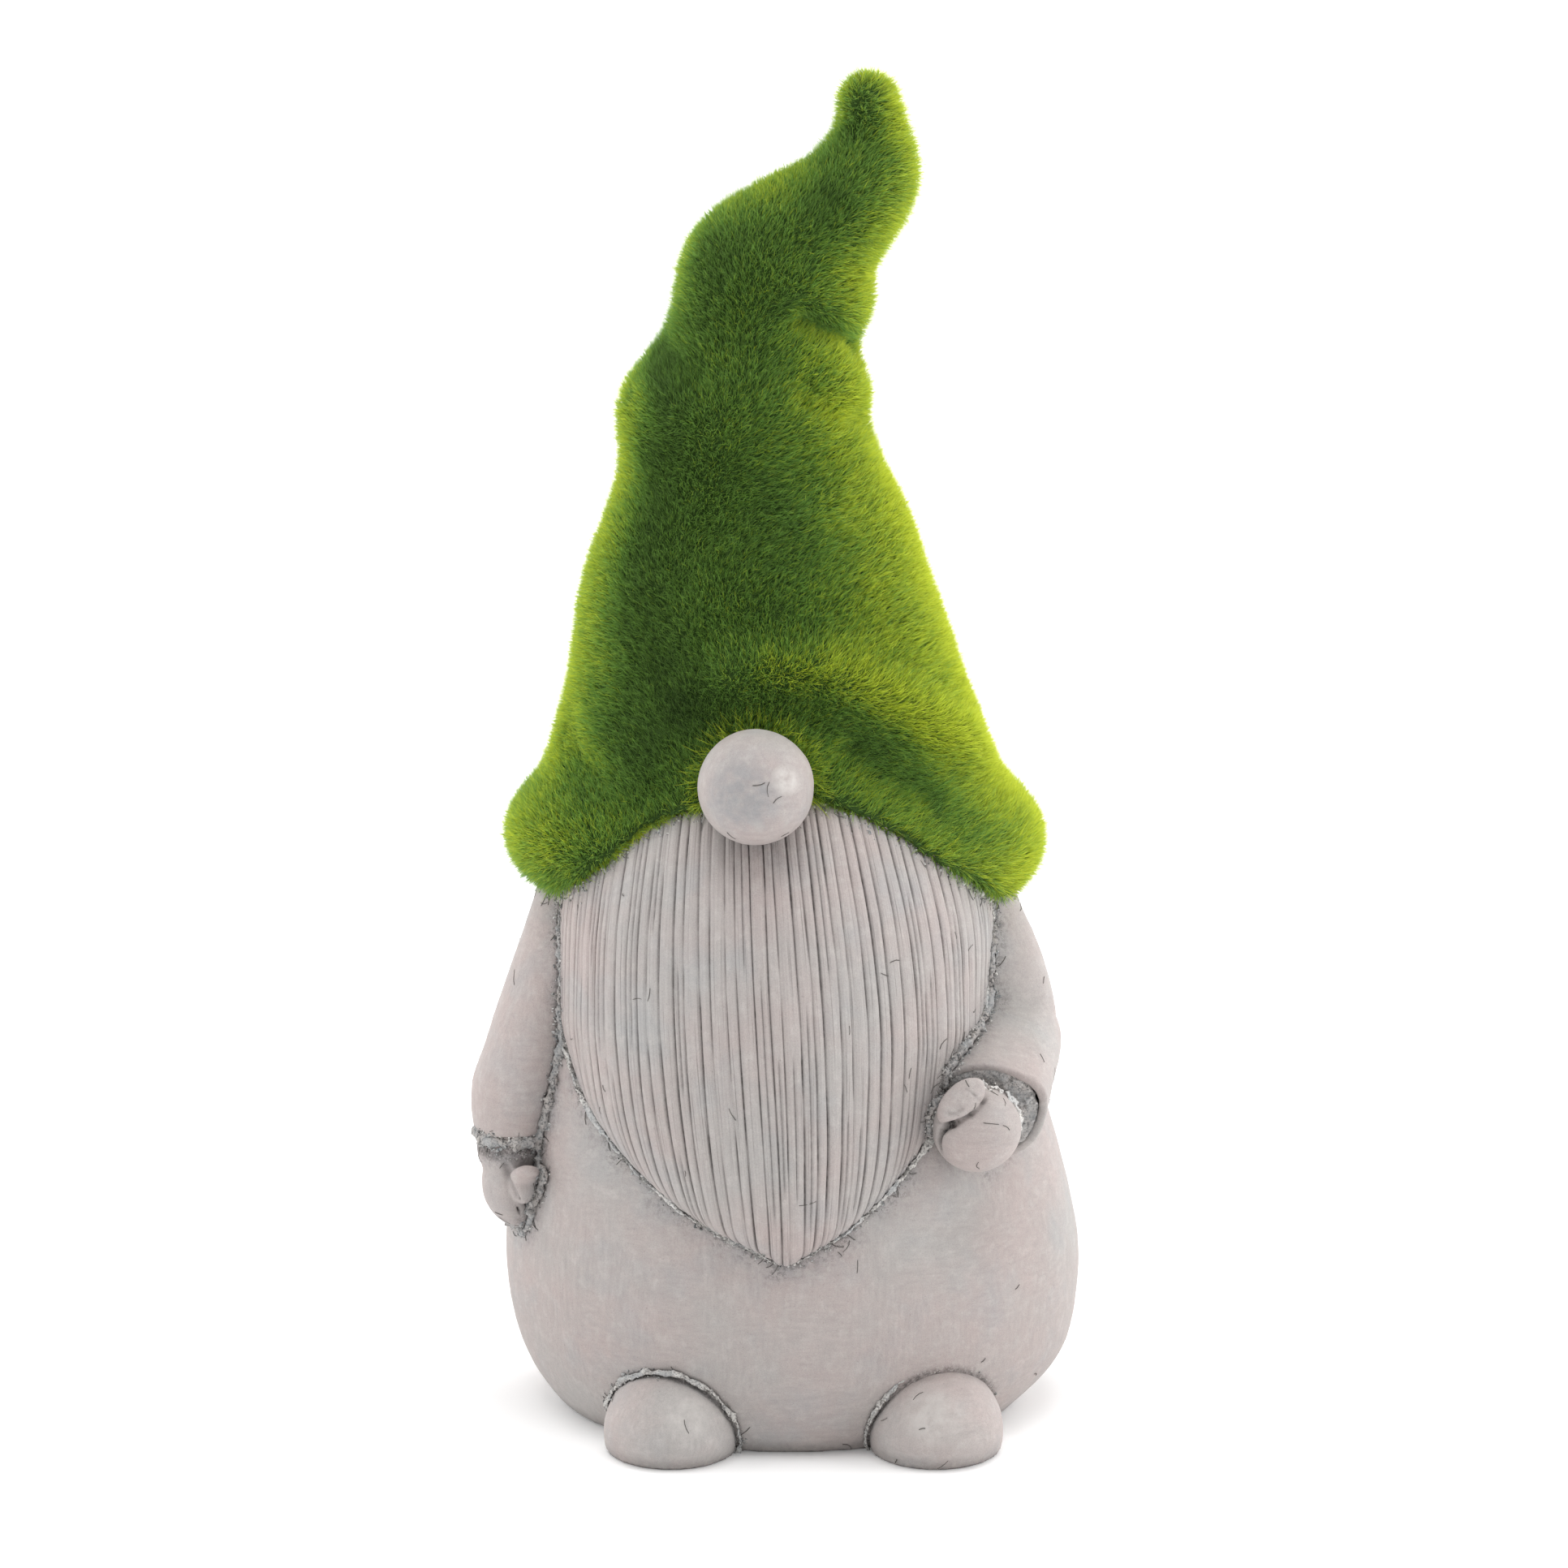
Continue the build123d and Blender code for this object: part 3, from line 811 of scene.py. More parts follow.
def lower_arch(mesh, triangles):
    """Draws the front edge of the hat down over the beard and round the nose."""
    points = points_of(mesh)
    rim = points[np.unique(open_edges(triangles)[0])] / MM
    rim = rim[(rim[:, 1] < -12) & (np.abs(rim[:, 0]) < 54)]
    finder = KDTree(len(rim))
    for i, place in enumerate(rim):
        finder.insert(place, i)
    finder.balance()
    away = np.array([finder.find(p)[2] for p in (points / MM).tolist()])
    drop = np.interp(points[:, 0] / MM, *zip(*ARCH_DROP)) * bell(away, 7) * MM
    out = unit(points * (1, 1, 0))
    move_points(mesh, points + out * drop[:, None] * 0.45 - np.array((0, 0, 1)) * drop[:, None])


def clear_of(mesh, triangles, other):
    """Keeps the flocked side a millimetre outside another shape, and the bare inner side just under it."""
    outer = np.isin(np.arange(len(mesh.vertices)), triangles)
    points = points_of(mesh)
    for i, place in enumerate(points.copy()):
        spot, facing, _, distance = other.find_nearest(Vector(place))
        depth = (Vector(place) - spot).dot(facing)
        if distance > 8 * MM:
            continue
        if outer[i] and depth < 1.0 * MM:
            points[i] += np.array(facing) * (1.0 * MM - depth)
        elif not outer[i] and 0 < depth < 2.5 * MM:
            points[i] -= np.array(facing) * (depth + 0.3 * MM)
    move_points(mesh, points)


def flat_blades(roots, aims, lengths, widths, bend, rng):
    """Tapered three-triangle blades: roots and tips in metres, with a soft bend half way up."""
    count = len(roots)
    side = unit(np.cross(aims, rng.normal(size=(count, 3)))) * (widths / 2)[:, None]
    middle = roots + aims * (lengths * 0.55)[:, None]
    tip = roots + aims * (lengths * 0.97)[:, None] + bend * lengths[:, None]
    middle = middle + bend * (lengths * 0.25)[:, None]
    points = np.stack([roots - side, roots + side, middle + side * 0.8, middle - side * 0.8, tip], axis=1)
    base = np.arange(count)[:, None] * 5
    faces = np.concatenate([base + [0, 1, 2], base + [0, 2, 3], base + [3, 2, 4]], axis=1)
    return points.reshape(-1, 3), faces.reshape(-1, 3)


def sample_surface(points, normals, triangles, count, rng):
    a, b, c = (points[triangles[:, i]] for i in range(3))
    area = np.linalg.norm(np.cross(b - a, c - a), axis=1)
    chosen = rng.choice(len(triangles), count, p=area / area.sum())
    u, v = rng.random((2, count))
    flip = u + v > 1
    u[flip], v[flip] = 1 - u[flip], 1 - v[flip]
    w = np.stack([1 - u - v, u, v], axis=1)[:, :, None]
    corners = triangles[chosen]
    return (points[corners] * w).sum(axis=1), unit((normals[corners] * w).sum(axis=1))


def nap(points, normals):
    """Which way and how far the pile leans: mostly upwards, in slow swirls."""
    angle = 0.9 + 1.1 * rough(points, 30 * MM, 41, 2) + 0.45 * rough(points, 7 * MM, 42, 2)
    across = unit(np.cross(np.array([0, 0, 1.0]), normals))
    up = np.cross(normals, across)
    lean = 0.55 + 0.35 * rough(points, 18 * MM, 43, 2)
    return (across * np.cos(angle)[:, None] + up * np.sin(angle)[:, None]) * lean[:, None]


def pile_lightness(points, normals, shape):
    """How light the pile is painted, about 0 to 1: painted light where it faces the sides or upwards and
    along the lighter bands, painted shade along the darker ones, with random unevenness.
    """
    # Painted light: pile facing right, or steeply left, is painted lighter, as is pile facing up.
    side = normals[:, 0]
    light = 0.51 + 0.42 * ease(side, 0.0, 1.0) + 0.36 * ease(-side, 0.60, 1.0)
    light += 0.10 * rough(points, 26 * MM, 45, 2) + 0.10 * rough(points, 5 * MM, 46, 2)
    light += 0.22 * ease(normals[:, 2], 0.45, 1.0)
    for path, width, amount in PILE_LIGHT_AND_SHADE:
        distance, _ = along_path(points / MM, [front_point(shape, x, z) for x, z in path])
        light += amount * bell(distance, width)
    return light


def pile_pieces(name, blades, lightness, material):
    """Flock pieces of a manageable size from blades given as roots, aims, lengths, widths and bends."""
    count = len(lightness)
    for k in range(0, count, FIBRES_IN_A_PIECE):
        part = slice(k, k + FIBRES_IN_A_PIECE)
        points, faces = flat_blades(*(values[part] for values in blades), rng=np.random.default_rng(12 + k))
        mesh = mesh_from(name, points, faces)
        set_attribute(mesh, "height", np.tile([0, 0, 0.55, 0.55, 1], len(lightness[part])))
        set_attribute(mesh, "lightness", np.repeat(lightness[part], 5))
        add_piece(f"{name}_{k // FIBRES_IN_A_PIECE}", mesh, material, ("hat_flock_pile",))


def flock(mesh, triangles, material):
    """Dense pile over the whole skin."""
    rng = np.random.default_rng(11)
    roots, normals = sample_surface(points_of(mesh), normals_of(mesh), triangles, FIBRES, rng)
    aims = unit(normals + nap(roots, normals) + rng.normal(scale=0.20, size=(FIBRES, 3)))
    tuft = rough(roots, 2.2 * MM, 44, 2)
    lengths = PILE * MM * (0.98 + 0.09 * tuft + rng.normal(scale=0.12, size=FIBRES))
    widths = rng.uniform(0.10, 0.17, FIBRES) * MM
    bend = rng.normal(scale=0.16, size=(FIBRES, 3)) - [0, 0, 0.06]
    # Painted light and shade of the pile, with random unevenness from fibre to fibre.
    lightness = pile_lightness(roots, normals, tree(mesh)) + 0.16 * rng.normal(size=FIBRES)
    pile_pieces("flock", (roots, aims, lengths, widths, bend), lightness.clip(0, 1), material)


def fringe(mesh, triangles, material):
    """Longer hairs that stand out past the edge of the flocked skin, painted lighter than the pile as rim
    light.
    """
    rng = np.random.default_rng(13)
    points, normals = points_of(mesh), normals_of(mesh)
    edges, third = open_edges(triangles)
    chosen = rng.integers(len(edges), size=FRINGE_FIBRES)
    share = rng.random((FRINGE_FIBRES, 1))
    a, b = points[edges[chosen, 0]], points[edges[chosen, 1]]
    along = unit(b - a)
    outward = (a + b) / 2 - points[third[chosen]]
    outward = unit(outward - along * (outward * along).sum(axis=1)[:, None])
    facing = normals[edges[chosen, 0]]
    roots = a + (b - a) * share - outward * rng.uniform(0, 1.2, (FRINGE_FIBRES, 1)) * MM
    aims = unit(facing * 0.75 + outward * 0.9 + rng.normal(scale=0.38, size=(FRINGE_FIBRES, 3)))
    lengths = rng.uniform(1.8, 3.6, FRINGE_FIBRES) * MM
    widths = rng.uniform(0.10, 0.18, FRINGE_FIBRES) * MM
    bend = rng.normal(scale=0.15, size=(FRINGE_FIBRES, 3))
    # Painted rim light: these hairs are painted lighter than the pile they grow from.
    lightness = 0.15 + pile_lightness(roots, facing, tree(mesh)) + 0.25 * rng.random(FRINGE_FIBRES)
    pile_pieces("flock_fringe", (roots, aims, lengths, widths, bend), lightness.clip(0, 1), material)


def nose_hairs(mesh, triangles, nose, material):
    """Longer hairs of the pile, painted light, that stand up round the nose, where the hat was pressed
    against it.
    """
    rng = np.random.default_rng(14)
    roots, normals = sample_surface(points_of(mesh), normals_of(mesh), triangles, NOSE_SAMPLES, rng)
    near = gap(roots, tree(nose)) < 3.2 * MM
    roots, normals = roots[near][:NOSE_HAIRS], normals[near][:NOSE_HAIRS]
    count = len(roots)
    away = unit(roots - points_of(nose).mean(axis=0))
    aims = unit(normals * 0.2 + away * 1.3 + np.array((0, -0.9, 0)) + rng.normal(scale=0.30, size=(count, 3)))
    lengths, widths = rng.uniform(3.2, 5.8, count) * MM, rng.uniform(0.16, 0.27, count) * MM
    bend = rng.normal(scale=0.2, size=(count, 3))
    # Painted light: these hairs get the lightest colours of the pile.
    pile_pieces("nose_hairs", (roots, aims, lengths, widths, bend), rng.uniform(0.86, 1.0, count), material)


def flock_fibre():
    """Nylon pile, a little translucent at the tip, with painted shade darkening it towards the root and
    painted light taking the tips of lighter fibres to yellow-green and near white.
    """
    n = Nodes("moss_flock")
    height, lightness = n.attribute("height"), n.attribute("lightness")
    low, high = n.range(lightness, 0.0, 0.6), n.range(lightness, 0.6, 1.0)
    # Painted shade at the root; the painted lightness of each fibre lifts its root, shaft and tip colours.
    root = n.mix(lightness, (0.044, 0.078, 0.026), (0.190, 0.270, 0.035))
    shaft = n.mix(high, n.mix(low, (0.066, 0.124, 0.034), (0.215, 0.385, 0.070)), (0.480, 0.580, 0.045))
    tip = n.mix(high, n.mix(low, (0.150, 0.250, 0.078), (0.330, 0.580, 0.140)), (0.920, 0.980, 0.120))
    colour = n.mix(n.range(height, 0.0, 0.5), root, shaft)
    colour = n.mix(n.range(height, 0.5, 1.0), colour, tip)
    n.wired(colour, 0.6, 0.2)
    through = n.add("ShaderNodeBsdfTranslucent", Color=colour)
    both = n.add("ShaderNodeMixShader", Fac=0.5)
    n.tree.links.new(n.shader.outputs[0], both.inputs[1])
    n.tree.links.new(through.outputs[0], both.inputs[2])
    n.tree.links.new(both.outputs[0], n.tree.nodes["Material Output"].inputs["Surface"])
    return n.material


def adhesive():
    n = Nodes("flock_adhesive")
    colour = n.mix(n.noise(1.2, 3), (0.028, 0.058, 0.014), (0.048, 0.090, 0.020))
    return n.wired(colour, 0.9, 0.1, n.bump(n.noise(0.8, 3), 0.15))


def adhesive_skin(mesh, triangles):
    """Thin coat over the casting's flocked faces."""
    used, corners = np.unique(triangles, return_inverse=True)
    points = points_of(mesh)[used] + normals_of(mesh)[used] * (0.45 * MM)
    return mesh_from("adhesive_skin", points, corners.reshape(-1, 3))


hat = clay(NODES["hat_core"].data, 1.2, 6)
skin_side = tree(NODES["hat_adhesive_coat"].data)
flocked = outer_faces(hat, skin_side)
settle_hat(hat)
lower_arch(hat, flocked)
fold_hat(hat)
clear_of(hat, flocked, tree(NODES["beard"].data))
add_piece("hat_casting", hat, body_cement, ("hat_core",))
skin = adhesive_skin(hat, flocked)
add_piece("hat_adhesive", skin, adhesive(), ("hat_adhesive_coat",))
moss = flock_fibre()
flock(hat, flocked, moss)
fringe(hat, flocked, moss)
nose_hairs(hat, flocked, CEMENT_PIECES[("nose",)].data, moss)
seat = clay(NODES["hat_mortar"].data, 0.8, 2)
add_piece("hat_mortar_ring", seat, crumbly("seat_mortar", (0.46, 0.44, 0.42), (0.16, 0.155, 0.15), 0.44),
          ("hat_mortar",))


# ---- Joint lines ----
def rims(mesh):
    """Both ends of every edge of a CAD mesh that folds sharply between its two faces."""
    points = points_of(mesh)
    corners = triangles_of(mesh)
    _, same = np.unique(np.round(points / (0.002 * MM)).astype(np.int64), axis=0, return_inverse=True)
    same = same.ravel()
    a, b, c = (points[corners[:, i]] for i in range(3))
    normal = unit(np.cross(b - a, c - a))
    edges = np.concatenate([same[corners[:, [i, (i + 1) % 3]]] for i in range(3)])
    owner = np.tile(np.arange(len(corners)), 3)
    order = np.lexsort((edges.max(axis=1), edges.min(axis=1)))
    low, high, owner = edges.min(axis=1)[order], edges.max(axis=1)[order], owner[order]
    pair = np.flatnonzero((low[1:] == low[:-1]) & (high[1:] == high[:-1]))
    sharp = (normal[owner[pair]] * normal[owner[pair + 1]]).sum(axis=1) < 0.93
    first = np.full(same.max() + 1, -1)
    first[same] = np.arange(len(same))
    return points[first[low[pair[sharp]]]], points[first[high[pair[sharp]]]]


SEAM_STEP = 0.35  # millimetres between places on a seam


def seam(node, other, rng):
    """Places along the line where one CAD node's skin runs into another's, and the other's normal there."""
    ends = rims(NODES[node].data)
    count = np.ceil(np.linalg.norm(ends[1] - ends[0], axis=1) / (SEAM_STEP * MM)).astype(int)
    pick = np.repeat(np.arange(len(count)), count)
    places = ends[0][pick] + (ends[1] - ends[0])[pick] * rng.random(len(pick))[:, None]
    own, neighbour = tree(NODES[node].data), tree(NODES[other].data)
    kept, normals = [], []
    for place in places:
        _, normal, _, distance = neighbour.find_nearest(Vector(place))
        if distance < 0.12 * MM:
            above = Vector(place) + normal * (0.5 * MM)
            skin, outward, _, _ = own.find_nearest(above)
            if (above - skin).dot(outward) > 0:
                kept.append(place)
                normals.append(normal)
    return np.array(kept).reshape(-1, 3), np.array(normals).reshape(-1, 3)


def lump_shape():
    """Points and faces of a small ball."""
    form = bmesh.new()
    bmesh.ops.create_icosphere(form, subdivisions=1, radius=1)
    points = np.array([v.co for v in form.verts])
    faces = np.array([[v.index for v in f.verts] for f in form.faces])
    form.free()
    return points, faces


def scatter_lumps(name, middles, sizes, rng):
    """Irregular grains, one at each middle; sizes in millimetres."""
    ball, faces = lump_shape()
    shape = 1 + 0.35 * rng.normal(size=(len(middles), len(ball), 1)).clip(-1.2, 1.2)
    squash = rng.uniform(0.55, 1.35, (len(middles), 1, 3))
    points = middles[:, None, :] + ball * shape * squash * (sizes * MM)[:, None, None]
    offset = (np.arange(len(middles)) * len(ball))[:, None, None]
    return mesh_from(name, points.reshape(-1, 3), (faces[None] + offset).reshape(-1, 3))


def worn_bead(name, node, slip):
    """The CAD bead, gnawed back and broken up by noise."""
    mesh = clay(NODES[node].data, 0.42, 2)
    points = points_of(mesh)
    swell(mesh, -0.50 + 0.95 * rough(points, 1.5 * MM, 61) + 0.75 * rough(points, 5 * MM, 62, 2))
    add_piece(name, mesh, slip, (node,))


def lying_fibres(name, starts, normals, ground, material, rng):
    """Short bent hairs that lie on the surface near their starts."""
    count, knots = len(starts), 4
    length = rng.uniform(1.2, 4.0, count) * MM
    heading = unit(np.cross(normals, rng.normal(size=(count, 3))))
    turn = np.cross(normals, heading) * rng.normal(scale=0.35, size=(count, 1))
    drift = unit(np.cross(normals, rng.normal(size=(count, 3))))
    place = starts + drift * rng.exponential(1.1 * MM, (count, 1))
    lines = []
    for k in range(knots):
        spots, facing = nearest(place, ground)
        lines.append(spots + facing * (rng.uniform(0.02, 0.16, (count, 1)) * MM))
        place = place + unit(heading + turn * k) * (length / (knots - 1))[:, None]
    lines = np.stack(lines, axis=1)
    radius = (rng.uniform(0.06, 0.105, count) * MM)[:, None, None]
    side = unit(np.cross(normals, heading))[:, None, :]
    ring = [side * radius, normals[:, None, :] * radius, -side * radius]
    points = np.stack([lines + r for r in ring], axis=2)
    tube = np.array([[k * 3 + i, k * 3 + (i + 1) % 3, k * 3 + 3 + (i + 1) % 3, k * 3 + 3 + i]
                     for k in range(knots - 1) for i in range(3)])
    offset = (np.arange(count) * knots * 3)[:, None, None]
    hairs = mesh_from(name, points.reshape(-1, 3), (tube[None] + offset).reshape(-1, 4))
    add_piece(name, hairs, material)


def thread():
    n = Nodes("loose_thread")
    colour = n.mix(n.noise(6, 2), (0.045, 0.046, 0.042), (0.17, 0.155, 0.14))
    return n.wired(colour, n.range(n.noise(0.8, 2), 0.3, 0.7, 0.6, 0.85))


CUFF_MIDDLE = np.array((46.6, -36.6, 75.4))
FOREARM = np.array((0.105, 0.935, 0.338))  # from the left cuff towards the elbow
CUFF_REACH = 10.9  # radius of the cuff's opening
FIST_MIDDLE, FIST_REACH = np.array((44.4, -44.2, 74.0)), 9.2


def lump_mass(name, middles, radii, voxel, slip, rng):
    """Lumps of slip run together into one rough mass."""
    mesh = clay(scatter_lumps(name, middles * MM, radii, rng), voxel, 1)
    swell(mesh, 0.30 * rough(points_of(mesh), 1.2 * MM, 71))
    add_piece(name, mesh, slip)


def cuff_filling(pale, grey, rng):
    """Slip packed between the left cuff and the fist, and a pale smear along the fist's outer side."""
    across = unit(np.cross(FOREARM, (0, 0, 1.0)))
    across *= np.sign(across[0])
    upward = np.array((0.0, -0.34, 0.94))

    def around(middle, angle, radius, depth):
        return middle + radius * (np.cos(angle) * across + np.sin(angle) * upward) + depth * FOREARM

    turn = np.linspace(0, 2 * np.pi, 60, endpoint=False)
    bed = [around(CUFF_MIDDLE, a, CUFF_REACH - r, 1.3) for a in turn for r in (0.4, 1.8, 3.2, 4.6)]
    lump_mass("cuff_filling", np.array(bed), np.full(len(bed), 1.15), 0.4, grey, rng)
    turn = np.concatenate([rng.uniform(-0.5, 0.7, 90), rng.uniform(0.7, 1.5, 25)])
    smear = [around(FIST_MIDDLE, a, FIST_REACH + rng.uniform(-0.3, 0.1), 3.2 + rng.normal(scale=0.7))
             for a in turn]
    lump_mass("cuff_smear", np.array(smear), rng.uniform(0.22, 0.60, len(smear)), 0.2, pale, rng)


def fist_bed(slip, rng):
    """Crumbly slip that fills the space between the left fist and the body."""
    low, high = (np.array(corner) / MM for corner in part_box("left_fist"))
    radius = (high[0] - low[0]) / 2
    middle = np.array(((low[0] + high[0]) / 2, low[1] + radius, low[2] + radius))
    lumps = []
    for angle in np.radians(np.arange(160, 322, 7)):
        for depth in np.arange(3.5, 15, 1.6):
            reach = radius - 1.2 + rng.uniform(-0.3, 0.4) - 0.04 * depth
            lumps.append(middle + (reach * np.cos(angle), depth, reach * np.sin(angle)))
    lump_mass("fist_bed", np.array(lumps), rng.uniform(1.0, 1.7, len(lumps)), 0.4, slip, rng)


def mark_joints():
    """Marks how close each cement point is to its neighbours: to all for crust, and to the parts listed for
    darkening for darker bluish blotches and dark specks.
    """
    for nodes, piece in CEMENT_PIECES.items():
        points = points_of(piece.data)
        for mark, names, reach in (("joint", JOINED, 1.4), ("darkening", DARKENING_PARTS, DARKENING_REACH.get(nodes[0], 3.0))):
            others = [NODES[name].data for name in names if name not in nodes]
            distance = gap(points, tree(merged(*others))) / MM
            set_attribute(piece.data, mark, bell(distance, reach))


def stray_hairs(ground, material, rng):
    """Loose hairs stuck here and there on the cement."""
    points = np.concatenate([points_of(piece.data) for piece in CEMENT_PIECES.values()])
    normals = np.concatenate([normals_of(piece.data) for piece in CEMENT_PIECES.values()])
    chosen = rng.choice(len(points), STRAY_HAIRS)
    lying_fibres("stray_hairs", points[chosen], normals[chosen], ground, material, rng)


def wedge(node, other, reach, rng):
    """Middles and radii of lumps that fill the notch between two pieces where it is under reach mm wide."""
    own = PIECE_OF[node].data
    opposite = tree(PIECE_OF[other].data)
    points, normals = points_of(own), normals_of(own)
    near = gap(points, opposite) < reach * MM
    middles, radii = [], []
    for point, normal in zip(points[near], normals[near]):
        for _ in range(2):
            start = Vector(point + rng.normal(scale=0.3, size=3) * MM)
            spot, facing, _, distance = opposite.find_nearest(start)
            across = (spot - start) / max(distance, 1e-9)
            if distance > 0.15 * MM and across.dot(Vector(normal)) > 0.15 and across.dot(facing) < -0.15:
                middles.append(np.array((start + spot) / 2) / MM)
                radii.append(0.44 * distance / MM + rng.uniform(-0.12, 0.22))
    return np.array(middles).reshape(-1, 3), np.array(radii)


def packed_seams(slip, rng):
    """Slip pressed into the notches beside the arms and hands; gives its middles and radii."""
    parts = [wedge(node, other, reach, rng) for node, other, reach in NOTCHES]
    middles = np.concatenate([part[0] for part in parts])
    radii = np.concatenate([part[1] for part in parts])
    lump_mass("packed_seams", middles, radii, 0.36, slip, rng)
    return middles, radii


def dress_seams():
    """Grains of slip and loose hairs along every joint that can be seen."""
    rng = np.random.default_rng(23)
    pale_slip = crumbly("pale_slip", (0.62, 0.60, 0.57), (0.20, 0.19, 0.185), 0.46)
    dark_slip = crumbly("dark_slip", (0.42, 0.41, 0.39), (0.07, 0.07, 0.07), 0.52)
    ground = tree(merged(*(piece.data for piece in CEMENT_PIECES.values())))
    joint_slip = crumbly("joint_slip", (0.40, 0.37, 0.35), (0.085, 0.083, 0.082), 0.46)
    packed, radii = packed_seams(joint_slip, rng)
    starts, normals = [], []
    for node, other, density in SEAMS:
        places, facing = seam(node, other, rng)
        if not len(places):
            continue
        keep = rng.random(len(places)) < density
        places, facing = places[keep], facing[keep]
        starts.append(places)
        normals.append(facing)
    edge = packed[radii > 0.5] * MM
    starts.append(edge)
    normals.append(unit(edge - nearest(edge, ground)[0]))
    rim = points_of(hat)[np.unique(open_edges(flocked)[0])]
    rim = rim[gap(rim, ground) < 4 * MM]
    rim = np.repeat(rim, 2, axis=0)
    rim[:, 2] -= rng.uniform(1.5, 4.2, len(rim)) * MM
    landed, facing = nearest(rim, ground)
    starts.append(landed)
    normals.append(facing)
    places, facing = (np.repeat(np.concatenate(parts), 3, axis=0) for parts in (starts, normals))
    middles, _ = nearest(places + rng.normal(scale=0.8 * MM, size=places.shape), ground)
    sizes = 0.09 + rng.exponential(0.11, len(middles)).clip(0, 0.45)
    dark = rng.random(len(middles)) < 0.45
    for shade, chosen, slip in (("pale", ~dark, pale_slip), ("dark", dark, dark_slip)):
        for k, share in enumerate(np.array_split(np.flatnonzero(chosen), 2)):
            name = f"joint_grains_{shade}_{k}"
            add_piece(name, scatter_lumps(name, middles[share], sizes[share], rng), slip)
    chosen, loose = rng.choice(len(places), LOOSE_HAIRS, replace=False), thread()
    lying_fibres("loose_hairs", places[chosen], facing[chosen], ground, loose, rng)
    white_slip = crumbly("white_slip", (0.74, 0.72, 0.69), (0.36, 0.34, 0.33), 0.42)
    grey_slip = crumbly("grey_slip", (0.52, 0.49, 0.47), (0.19, 0.185, 0.18), 0.46)
    cuff_filling(white_slip, grey_slip, rng)
    stray_hairs(ground, loose, rng)
    fist_bed(pale_slip, rng)
    for place in ("beard", "right_foot", "left_foot"):
        worn_bead(f"{place}_slip", f"{place}_luting", pale_slip)


SEAMS = (  # piece, neighbour, share of the places along the seam that get slip
    ("beard", "torso_shell", 0.9), ("right_foot", "torso_shell", 0.8), ("left_foot", "torso_shell", 0.7),
    ("right_sleeve", "torso_shell", 0.6), ("left_sleeve", "torso_shell", 0.2),
    ("right_hand", "torso_shell", 0.9), ("left_sleeve", "beard", 1.0), ("right_sleeve", "beard", 0.8),
)
# Parts near which cement gets darker bluish blotches and dark specks.
DARKENING_PARTS = ("torso_shell", "beard", "right_sleeve", "left_sleeve", "right_hand", "left_fist", "hat_core")
JOINED = DARKENING_PARTS + ("nose", "right_foot", "left_foot")
STRAY_HAIRS, LOOSE_HAIRS = 170, 1300
NOTCHES = (  # piece, neighbour, widest notch in millimetres that slip still fills
    ("torso_shell", "right_sleeve", 2.4), ("torso_shell", "right_hand", 2.4), ("beard", "left_sleeve", 2.0),
    ("beard", "right_sleeve", 1.6), ("torso_shell", "left_sleeve", 1.8), ("right_hand", "right_sleeve", 2.6),
    ("left_sleeve", "left_fist", 1.2), ("beard", "left_fist", 1.6),
)
# How far from those parts each piece is darkened, in millimetres; 3 elsewhere.
DARKENING_REACH = {"right_sleeve": 2.6, "left_sleeve": 3.2, "right_hand": 3.4, "torso_shell": 4.0,
              "right_foot": 1.6, "left_foot": 1.6}
PIECE_OF = {nodes[0]: piece for nodes, piece in CEMENT_PIECES.items()}
mark_joints()
dress_seams()


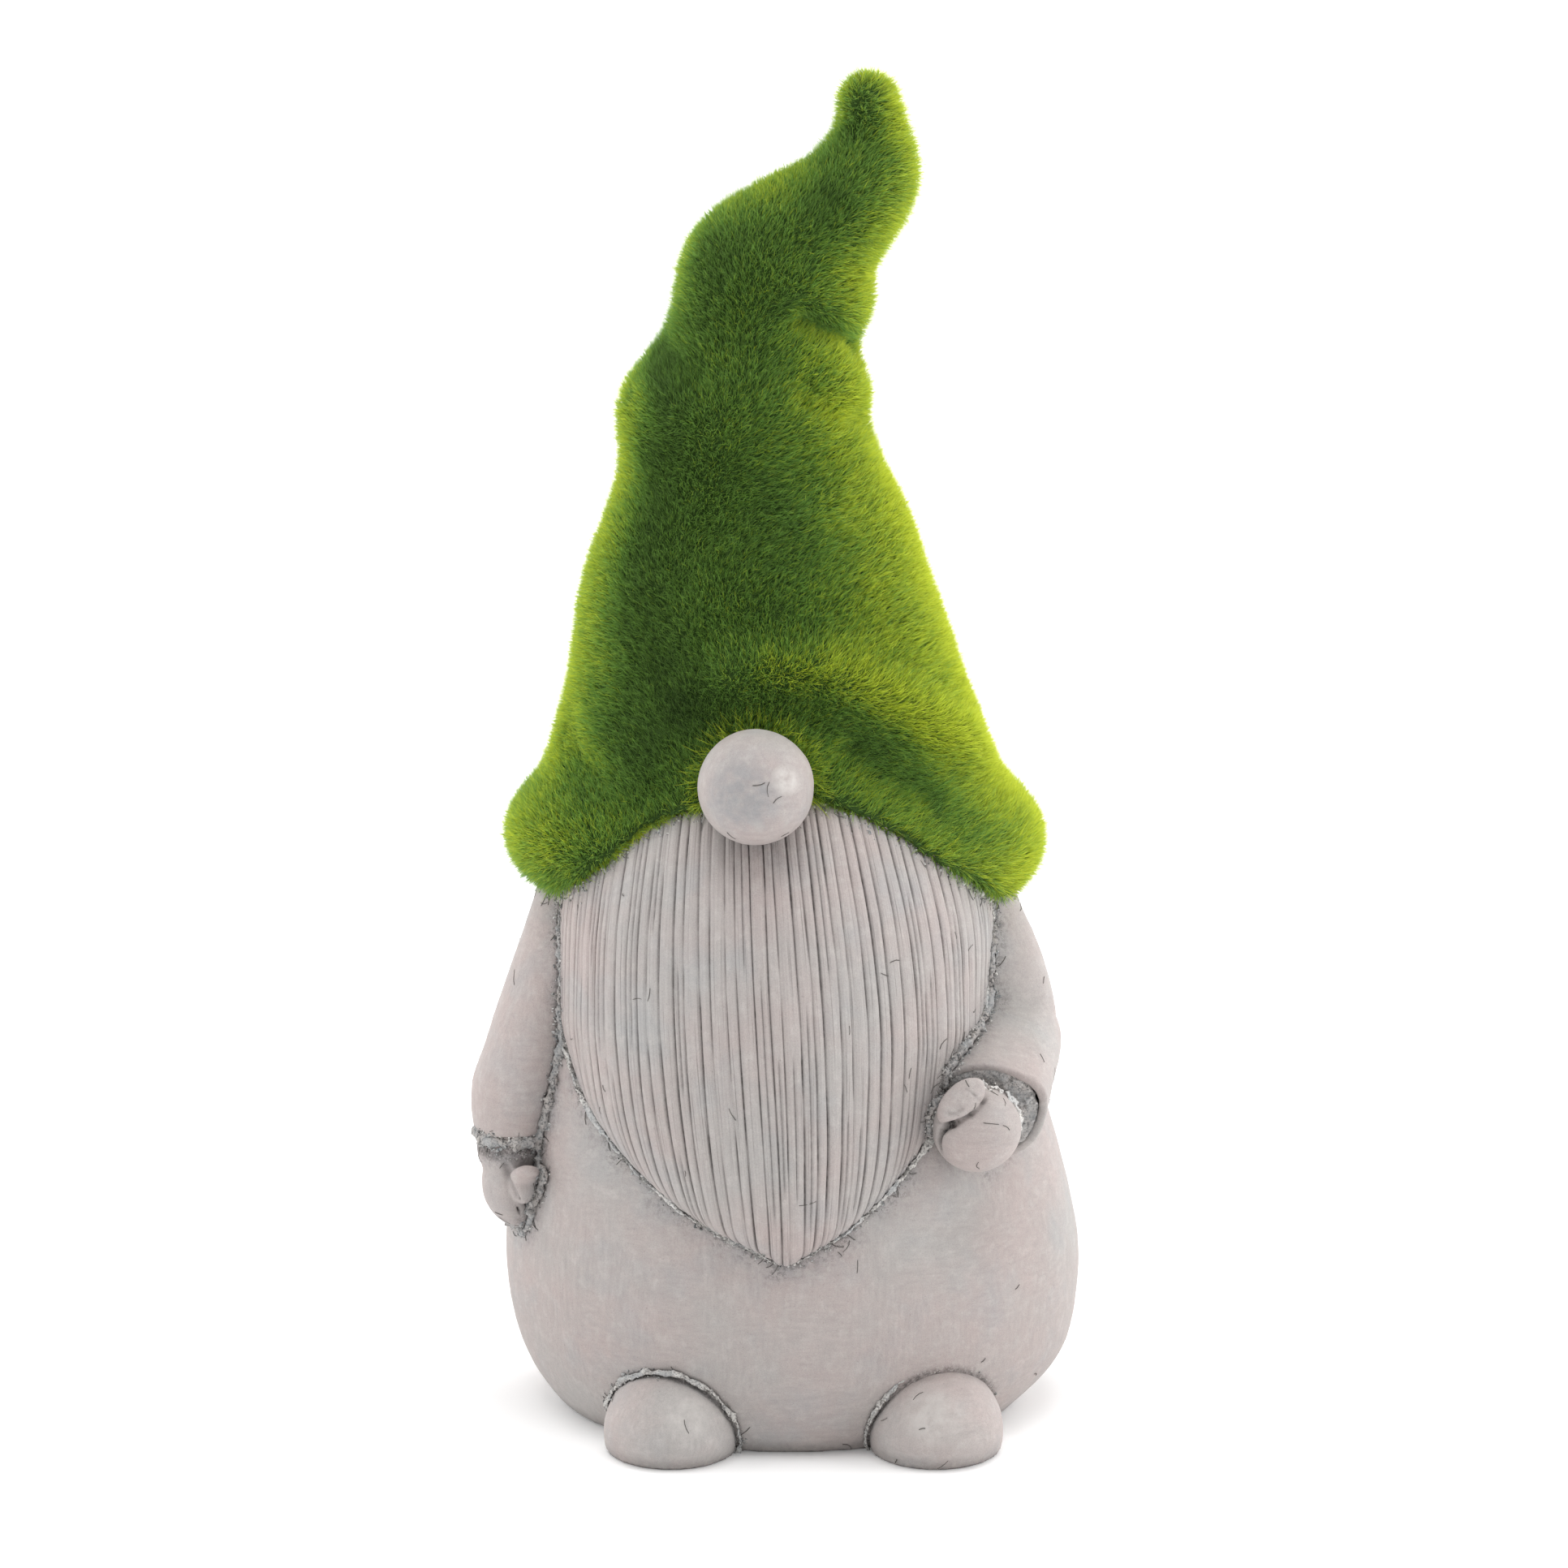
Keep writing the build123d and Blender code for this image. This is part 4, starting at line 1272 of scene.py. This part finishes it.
# ---- Studio ----
def studio():
    world = bpy.data.worlds.new("studio")
    world.use_nodes = True
    nodes, link = world.node_tree.nodes, world.node_tree.links.new
    sky = nodes["Background"]
    sky.inputs["Color"].default_value = (1, 1, 1, 1)
    seen, strength = nodes.new("ShaderNodeLightPath"), nodes.new("ShaderNodeMapRange")
    link(seen.outputs["Is Camera Ray"], strength.inputs["Value"])
    strength.inputs["To Min"].default_value, strength.inputs["To Max"].default_value = 0.50, 1.0
    link(strength.outputs[0], sky.inputs["Strength"])
    SCENE.world = world
    SCENE.view_settings.view_transform = "Standard"
    SCENE.view_settings.look = "None"

    floor_mesh = mesh_from("floor", [(-9, -9, 0), (9, -9, 0), (9, 9, 0), (-9, 9, 0)], [(0, 1, 2, 3)])
    floor = bpy.data.objects.new("floor", floor_mesh)
    SCENE.collection.objects.link(floor)
    paint = Nodes("floor_paint")
    paint.shader.inputs["Base Color"].default_value = (0.92, 0.92, 0.92, 1)
    paint.shader.inputs["Roughness"].default_value = 0.9
    paint.shader.inputs["Emission Color"].default_value = (1, 1, 1, 1)
    away = paint.add("ShaderNodeVectorMath")
    away.operation = "LENGTH"
    paint.set(away.inputs[0], paint.place)
    glow = paint.range(away.outputs["Value"], 0.1, 1.2, 0.12, 0.9)
    paint.set(paint.shader.inputs["Emission Strength"], glow)
    floor_mesh.materials.append(paint.material)

    for name, place, aim, width, height, power in (
        ("left_softbox", (-1.3, -0.15, 0.55), 0.15, 0.8, 1.2, 6),
        ("right_softbox", (1.3, -0.25, 0.60), 0.15, 0.8, 1.2, 9),
        ("left_back_softbox", (-0.8, 0.9, 0.45), 0.25, 0.7, 1.0, 6),
        ("right_back_softbox", (0.8, 0.9, 0.45), 0.25, 0.7, 1.0, 8),
        ("top_softbox", (0.0, -0.2, 1.5), 0.1, 1.2, 1.2, 14),
    ):
        light = bpy.data.lights.new(name, "AREA")
        light.shape, light.size, light.size_y, light.energy = "RECTANGLE", width, height, power
        lamp = bpy.data.objects.new(name, light)
        SCENE.collection.objects.link(lamp)
        lamp.location = place
        lamp.rotation_euler = (Vector((0, 0, aim)) - Vector(place)).to_track_quat("-Z", "Y").to_euler()


def camera():
    """A long lens, looking slightly down at the figure's middle."""
    distance, tilt = 1.5, np.radians(12)
    aim = Vector((3.0 * MM, 0, 140.1 * MM))
    lens = bpy.data.cameras.new("camera")
    lens.sensor_width, lens.lens, lens.clip_start, lens.clip_end = 36, 157.3, 0.05, 30
    eye = bpy.data.objects.new("camera", lens)
    SCENE.collection.objects.link(eye)
    eye.location = aim + distance * Vector((0, -np.cos(tilt), np.sin(tilt)))
    eye.rotation_euler = (aim - eye.location).to_track_quat("-Z", "Y").to_euler()
    SCENE.camera = eye


studio()
camera()
